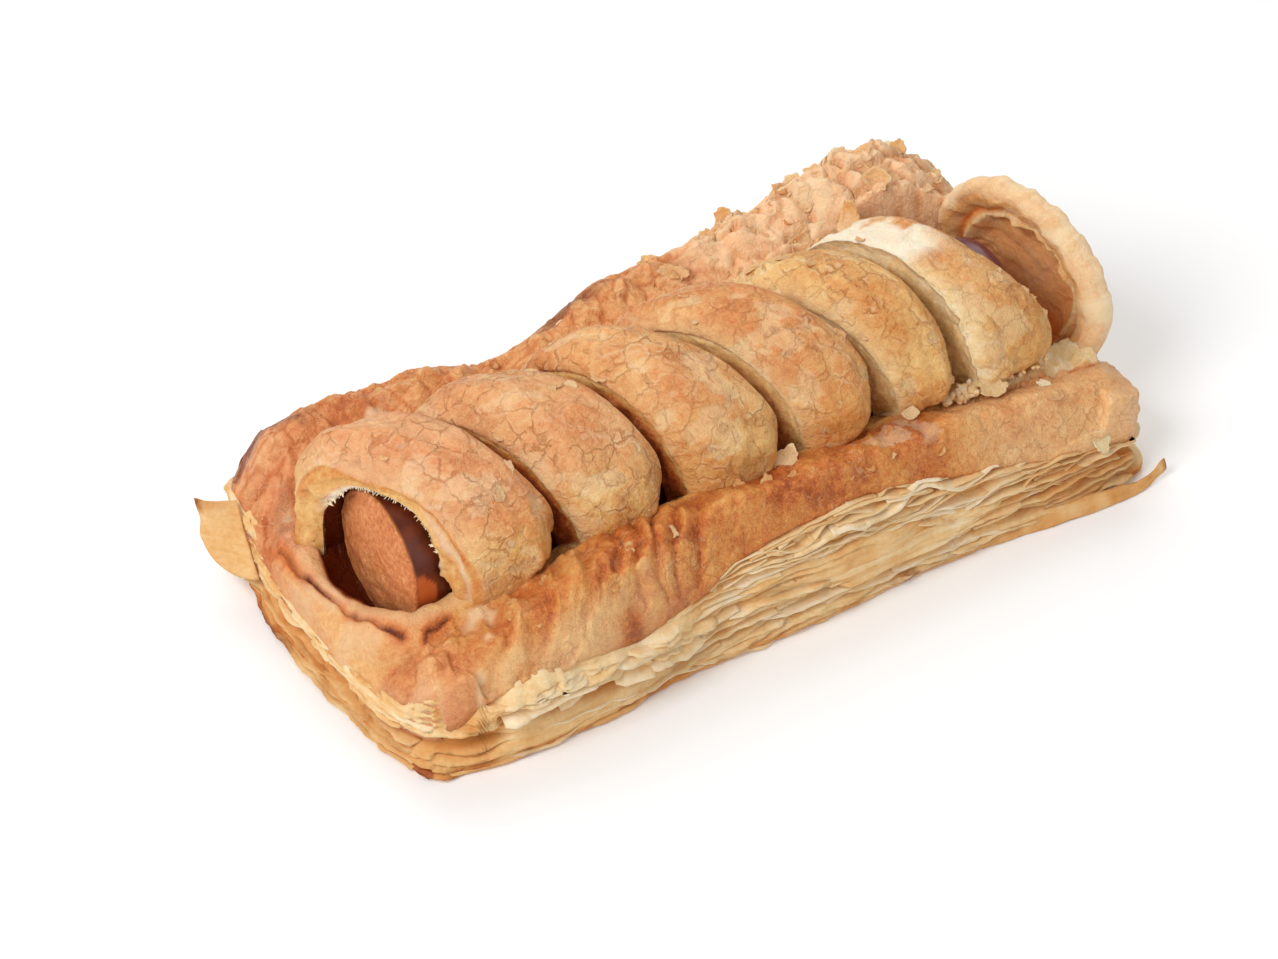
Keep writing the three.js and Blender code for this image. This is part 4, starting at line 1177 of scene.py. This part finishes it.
def nearWall(x, z, out):  # a place on the near wall, standing out from it
    return x, along(roll["nearSide"], x) + shoulderInset(x, z) - out, z


def openWall(y, z, out):  # the same on the wall of the open end
    return -(roll["halfLength"] + roll["endBulge"] * (1 - (y / roll["halfWidth"]) ** 2)) - out, y, z


def addLeaf(bm, wall, middle, height, length, out, seed, slope, wave, droop, root, toast, browned=0.0):
    start, end = max(middle - length / 2, loose["leafFrom"]), min(middle + length / 2, loose["leafTo"])
    middle, length = (start + end) / 2, end - start
    near = wall is nearWall

    def place(u, v):
        run = middle + u * length / 2
        free = (v + 1) / 2
        narrow = 1 - 0.5 * step(np.abs(u), 0.7, 1.0)
        ragged = 1 + 0.35 * rough(run, 0, 3.0, seed, 4)
        stand = lerp(-root, out * ragged * narrow, free) + 0.25 * free * wander(run, 0, 2.2, seed + 3)
        z = height + slope * (run - middle) + 2.0 * wave * wander(run, 0, 8.5, seed + 4)
        z = z + 0.45 * wave * wander(run, 0.5 * free, 2.4, seed + 5) * (0.4 + 0.6 * free) + droop * free ** 2
        if near:
            z = np.minimum(z, along(crust["nearEdge"], run) - 0.2 - 0.4 * (seed % 6))
        return wall(run, np.maximum(z, 0.35), stand)

    def looks(u, v):
        run = middle + u * length / 2
        edge = step(v, 0.4, 1.0)
        baking = 0.2 * rough(run, v * 3, 5, seed + 7) - 0.08 * edge + 0.3 * step(run, 42, 58) * near
        # the root half of each leaf takes painted shade through deep
        return {"toast": toast + baking,
                "deep": 0.5 * step(-v, 0.0, 0.8),
                "char": browned * edge * step(wander(run, 0, 4, seed + 9), -0.2, 0.5)}

    addSheet(bm, max(8, int(length / loose["leafPiece"])), loose["leafRows"], place, looks)


def makeWallSheets():
    bm = newLoose("toast", "deep", "char")
    dice = np.random.default_rng(7)

    # length, reach, seed, slope, wave, droop, root and toast, each a range to draw from, "seed" or a number
    def leaf(wall, middle, height, *ranges, browned=0.0):
        given = []
        for item in ranges:
            if item == "seed":
                given.append(int(dice.integers(1000)))
            else:
                given.append(dice.uniform(*item) if isinstance(item, tuple) else item)
        addLeaf(bm, wall, middle, height, *given, browned)

    # near side under the glaze: a web of thin sheets that meet and part
    for middle in np.arange(-19.0, 68.0, 8.0):
        top = float(along(crust["nearEdge"], middle))
        for k in range(4):
            leaf(nearWall, middle + dice.uniform(-4, 4), top - 0.9 - 2.0 * k + dice.uniform(-0.7, 0.7),
                 (12, 26), (-0.2, 0.9), "seed", (-0.06, 0.06), (0.5, 1.0), (-0.9, 0.3), 2.4, (0.15, 0.5))
    # the long sheets lower down, the lowest browned
    for row, height in enumerate((9.6, 6.2, 3.8, 2.2)):
        for middle in np.arange(-18.0 - 26 * (row > 1), 68.0, 17.0):
            leaf(nearWall, middle + dice.uniform(-4, 4), height + dice.uniform(-0.8, 0.8),
                 (12, 30), (0.4, 1.4), "seed", (-0.08, 0.08), (0.2, 0.7), (-0.9, 0.1), 2.0, (0.08, 0.45),
                 browned=0.3 * (row == 3))
    # tattered flakes that hang over the dark gap beside the open end
    for middle in np.arange(-54.0, -20.0, 6.2):
        gap = float(along(walls["gapHeight"], middle))
        for k in range(2):
            leaf(nearWall, middle + dice.uniform(-1.8, 1.8), gap + 2.2 + dice.uniform(0, 1.2) + 3.0 * k,
                 (8, 14), (1.4, 2.6), "seed", (-0.2, 0.2), (0.3, 0.6), (-2.0, -0.8), 1.8, (0.18, 0.4))
    # thin orange sheets low along the open end
    for height, low, high, out, droop, browned in (
            (1.0, -28, 25, 1.9, -0.2, 1.0), (2.4, -28, 12, 1.5, -0.4, 0.35), (3.7, -27, -2, 1.2, -0.3, 0.35),
            (3.2, -4, 22, 1.3, 0.5, 0.35), (5.0, -27, -14, 0.9, -0.3, 0.35)):
        leaf(openWall, (low + high) / 2, height, high - low, out, "seed", 0.0, 0.18, droop, 2.2, 0.62,
             browned=browned)
    for middle in np.arange(-20.0, 22.0, 6.2):  # torn pale layers under the crust of the open end
        for k in range(2):
            leaf(openWall, middle + dice.uniform(-2, 2), 8.0 + 1.4 * k + dice.uniform(-0.5, 0.5),
                 (5, 12), (0.5, 1.2), "seed", (-0.06, 0.06), 0.3, (-1.0, 0.2), 1.4, (0.2, 0.5))
    finishLoose("wallSheets", bm, loose["leafThick"], flakyFinish)


def makeFlap():
    bm = newLoose("toast", "deep", "char")
    rootTop, tipTop, tipLow, rootLow = [np.array(c) for c in loose["flap"]]

    def place(u, v):
        a, b = halved(u, v)
        x, y, z = [lerp(lerp(rootTop[i], tipTop[i], a), lerp(rootLow[i], tipLow[i], a), b) for i in range(3)]
        sag = np.sin(math.pi * a) * b ** 2
        curl = a ** 3 * (1 - b) ** 2
        wave, sideways = 0.5 * wander(9 * a, 9 * b, 4, 131), 0.5 * rough(9 * a, 9 * b, 3, 132) * a
        return x - 1.2 * sag + wave - 0.6 * curl, y + sideways, z - 2.6 * sag + 1.6 * curl

    def looks(u, v):
        a, b = halved(u, v)
        tip = step(a, 0.82, 1.0) * fade(b, 0.1, 0.4)
        return {"toast": 0.5 + 0.1 * rough(9 * a, 9 * b, 4, 133) + 0.2 * tip, "deep": 0.15, "char": 0.9 * tip}

    addSheet(bm, 26, 30, place, looks)
    # the strip peeled off the foot of the near side
    points = np.array(loose["strip"])
    knots = np.linspace(-1, 1, len(points))

    def stripPlace(u, v):
        x, y, z = [along(list(zip(knots, points[:, i])), u) for i in range(3)]
        half = 1.7 * (1 - 0.5 * step(u, -0.2, 0.8)) * (1 + 0.3 * rough(16 * u, 0, 3, 134))
        return x, y + 0.5 * v * half, np.maximum(z + 0.8 * v * half + 0.35 * wander(14 * u, v, 2, 135), 0.2)

    def stripLooks(u, v):
        return {"toast": 0.62 + 0.2 * wander(18 * u, v, 2, 136), "deep": 0.3, "char": 0.6 * step(u, 0.9, 1.0)}

    addSheet(bm, 60, 5, stripPlace, stripLooks)
    finishLoose("flapAndStrip", bm, loose["flapThick"], flakyFinish)


makeWallSheets()
makeFlap()
print("sheets done")


# curled flakes of glaze, fibres and crumbs
scraps = {
    "petals": 40, "borderScraps": 46, "bandScraps": 60, "fibres": 150,
    # chips and curls that stand alone: place, way up, size, curl, how toasted and how pale
    "chips": [
        ((44.3, 19.7, 35.6), (-0.9, -0.2, 0.5), 2.9, 1.5, 0.2, 0.0),
        ((53.0, 24.0, 36.8), (-0.6, -0.3, 0.6), 2.6, 1.3, 0.25, 0.0),
        ((63.3, 34.6, 33.0), (0, -0.3, 1), 1.3, 0.5, 0.1, 0.9),
        ((56.7, -23.6, 22.4), (0, -0.3, 1), 1.3, 0.3, 0.1, 0.7),
        ((62.9, -33.0, 13.5), (0.1, -1, 0.6), 2.4, 0.3, 0.2, 0.6),
        ((47.5, -21.0, 24.0), (-0.2, -0.5, 1), 2.4, 0.4, 0.35, 0.2),
        ((5.6, -19.4, 26.0), (-0.6, -0.5, 0.7), 2.3, 0.9, 0.35, 0.4),
        ((30.5, -20.5, 25.5), (-0.2, -0.5, 1), 1.5, 0.5, 0.4, 0.4)],
    # broken crumb between the last two bands' feet, and in the mouth's corner: middle, spread, count, size
    "heaps": [((42.0, -18.6, 23.2), (3.6, 1.3, 0.8), 46, 0.9),
              ((52.0, -19.3, 23.0), (8.0, 0.8, 0.6), 22, 0.6),
              ((-48.5, -16.5, 20.0), (2.4, 1.6, 2.4), 40, 0.6)],
}


def addFlake(bm, spot, up, size, curl, seed, looks):  # a small bent scrap lying at spot, its face towards up
    up = Vector(up).normalized()
    side = up.orthogonal().normalized()
    side.rotate(Quaternion(up, 2.4 * seed))
    ways = np.array([side, up.cross(side), up])

    def place(u, v):
        a, b = u * np.sqrt(1 - v * v / 2), v * np.sqrt(1 - u * u / 2)
        turn = np.arctan2(b, a)
        ragged = 0.26 * wander(3 * np.cos(turn), 3 * np.sin(turn), 1.3, seed)
        ragged = ragged + 0.12 * wander(3 * np.cos(turn), 3 * np.sin(turn), 0.6, seed + 2)
        grow = size * (1 + ragged * np.hypot(a, b) ** 2)
        bent = size * curl * (0.7 * a * a + 0.35 * b * b - 0.3)
        bent = bent + 0.06 * size * wander(5 * a, 5 * b, 1.7, seed + 1)
        at = np.array(spot) + np.outer(a * grow, ways[0]) + np.outer(0.75 * b * grow, ways[1])
        return (at + np.outer(bent, ways[2])).T

    addSheet(bm, 9, 9, place, lambda u, v: looks)


def topAt(x, y):
    return float(crustSurface(np.array([x]), np.array([y]))[0][0])


def makeFlakes():
    bm = newLoose("toast", "pale", "blush", "crazed", "raw")
    dice = np.random.default_rng(11)

    def draw(low, high):
        return float(dice.uniform(low, high))

    for _ in range(scraps["petals"]):  # blistered petals where the far border has risen
        x, deep = draw(8, 68), draw(0.8, 17)
        y = float(along(roll["farSide"], x)) - deep
        lean = (draw(-0.6, 0.3), draw(-0.9, 0.0), 1.0)
        size, curl, seed = draw(1.2, 2.8), draw(0.25, 0.7), int(dice.integers(1000))
        looks = {"toast": draw(0.25, 0.5), "pale": 0.2 * float(dice.random() ** 3), "blush": draw(0.85, 1.0),
                 "crazed": 0.2}
        addFlake(bm, (x, y, topAt(x, y) - 0.5), lean, size, curl, seed, looks)
    for _ in range(scraps["borderScraps"]):  # thin scraps along both borders
        x = draw(-66, 69)
        near = dice.random() < 0.6
        deep = draw(2.5, 13)
        y = float(along(roll["nearSide"], x)) + deep if near else float(along(roll["farSide"], x)) - deep
        lean = (draw(-0.3, 0.3), -0.4 if near else -0.2, 1.0)
        size, curl, seed = draw(0.5, 1.5), draw(0.1, 0.5), int(dice.integers(1000))
        looks = {"toast": draw(0.5, 0.75), "pale": 0.4 * float(dice.random() ** 3), "blush": 0.4}
        addFlake(bm, (x, y, topAt(x, y) - 0.12), lean, size, curl, seed, looks)
    for spot, up, size, curl, toast, pale in scraps["chips"]:
        looks = {"toast": toast, "pale": pale, "blush": 0.9 - pale}
        addFlake(bm, spot, up, size, curl, int(spot[0] * 7), looks)
    for _ in range(scraps["bandScraps"]):  # lifted scraps on the bands
        index = int(dice.integers(6))
        a, turn = draw(-0.7, 0.8), draw(-1.0, 1.35)
        spot = [float(c) for c in bandPoint(index, a, turn, 1.0, -0.1)]
        up = (draw(-0.15, 0.15), -math.sin(turn), math.cos(turn))
        size, curl, seed = draw(0.5, 1.6), draw(0.1, 0.35), int(dice.integers(1000))
        looks = {"toast": draw(0.42, 0.62), "pale": 0.35 * float(dice.random()), "blush": 0.6}
        addFlake(bm, spot, up, size, curl, seed, looks)
    finishLoose("glazeFlakes", bm, loose["flakeThick"], crustFinish)


def makeCrumbs():
    bm = newLoose("toast", "deep", "char")
    layer = bm.verts.layers.float["toast"]
    dice = np.random.default_rng(13)
    for middle, spread, count, size in scraps["heaps"]:
        for _ in range(count):
            made = bmesh.ops.create_icosphere(bm, subdivisions=2, radius=1)["verts"]
            at = np.array(middle) + np.array(spread) * dice.uniform(-1, 1, 3)
            scale = size * dice.uniform(0.4, 1.1, 3)
            seed = int(dice.integers(1000))
            ball = np.array([tuple(v.co) for v in made])
            grow = 1 + 0.35 * wander(ball[:, 0] * 2 + seed, ball[:, 1] * 2 + ball[:, 2] * 3, 1, seed)
            shade = float(dice.uniform(0.15, 0.45))
            for v, place in zip(made, (at + ball * scale * grow[:, None]).tolist()):
                v.co = place
                v[layer] = shade
    finishPiece("crumbs", bm, flakyFinish)


def makeFibres():  # white torn fibres along the mouth's upper edge
    bm = newLoose("toast", "deep", "char")
    dice = np.random.default_rng(17)

    def draw(low, high):
        return float(dice.uniform(low, high))

    for _ in range(scraps["fibres"]):
        turn = draw(-1.15, 1.0)
        root = [float(c) for c in bandPoint(0, -1.0, turn, 0.04 + 0.16 * float(dice.random()), 0.0)]
        inY, inZ = math.sin(turn) * 0.9, -math.cos(turn)
        way = Vector((draw(-0.9, 0.4), inY + draw(-0.5, 0.5), inZ)).normalized()
        length, wide = draw(0.3, 1.1), draw(0.12, 0.4)
        side = way.orthogonal().normalized()
        bend = draw(-0.4, 0.4)

        def place(u, v, root=root, way=way, side=side, length=length, wide=wide, bend=bend):
            t = (u + 1) / 2
            taper = 1 - 0.8 * t
            sideways = wide * v * taper + bend * t * t
            return [root[i] + length * t * way[i] + sideways * side[i] for i in range(3)]

        addSheet(bm, 4, 1, place, lambda u, v: {"toast": 0.02})
    finishLoose("mouthFibres", bm, loose["fibreThick"], flakyFinish)


makeFlakes()
makeCrumbs()
makeFibres()
print("flakes done")


# the studio: pale floor, soft light, camera
studio = {
    "azimuth": -32.0, "elevation": 42.0, "distance": 1.033, "target": (-13.83, -3.02, 18.0),
    "focalPixels": 6000.0, "imageWidth": 1278.0, "sensor": 36.0,
    "floor": 0.93, "floorGlow": 0.08, "floorDrop": 0.0002, "room": 0.36,
    # each light's azimuth, elevation, distance, size and power
    "lights": {"key": (-75, 48, 1.2, 0.6, 8.6), "back": (160, 50, 1.2, 0.9, 5.6),
               "fill": (10, 35, 1.5, 1.2, 2.6)},
}


def backwards(azimuth, elevation):
    a, e = math.radians(azimuth), math.radians(elevation)
    return Vector((math.sin(a) * math.cos(e), -math.cos(a) * math.cos(e), math.sin(e)))


def stand(name, data, azimuth, elevation, distance, target=(0, 0, 0)):  # puts it up, facing the target
    away = backwards(azimuth, elevation)
    made = bpy.data.objects.new(name, data)
    made.location = Vector(target) + away * distance
    made.rotation_euler = away.to_track_quat("Z", "Y").to_euler()
    bpy.context.scene.collection.objects.link(made)
    return made


def makeStudio():
    bm = newGrid(1, 1)
    bmesh.ops.scale(bm, vec=(3, 3, 1), verts=bm.verts[:])
    floorMesh = bpy.data.meshes.new("floor")
    bm.to_mesh(floorMesh)
    bm.free()
    floor = bpy.data.objects.new("floor", floorMesh)
    floor.location.z = -studio["floorDrop"]
    bpy.context.scene.collection.objects.link(floor)
    sheet, tone = Sheet("pale floor"), (studio["floor"],) * 3 + (1,)
    glow = {"Emission Color": (1, 1, 1, 1), "Emission Strength": studio["floorGlow"]}
    floorMesh.materials.append(sheet.finish(tone, 0.9, sheet.noise(4.0), 0.001, glow))
    world = bpy.data.worlds.new("soft room")
    world.use_nodes = True
    room = world.node_tree.nodes["Background"].inputs
    room["Color"].default_value, room["Strength"].default_value = (1, 1, 1, 1), studio["room"]
    bpy.context.scene.world = world
    for name, (azimuth, elevation, distance, size, power) in studio["lights"].items():
        lamp = bpy.data.lights.new(name, "AREA")
        lamp.shape, lamp.size, lamp.energy = "SQUARE", size, power
        stand(name, lamp, azimuth, elevation, distance)
    bpy.context.scene.view_settings.view_transform = "Standard"
    data = bpy.data.cameras.new("camera")
    data.sensor_width = studio["sensor"]
    data.lens = studio["focalPixels"] / studio["imageWidth"] * studio["sensor"]
    target = (np.array(studio["target"]) + shift) / 1000
    camera = stand("camera", data, studio["azimuth"], studio["elevation"], studio["distance"], target)
    bpy.context.scene.camera = camera


makeStudio()
print("studio done")
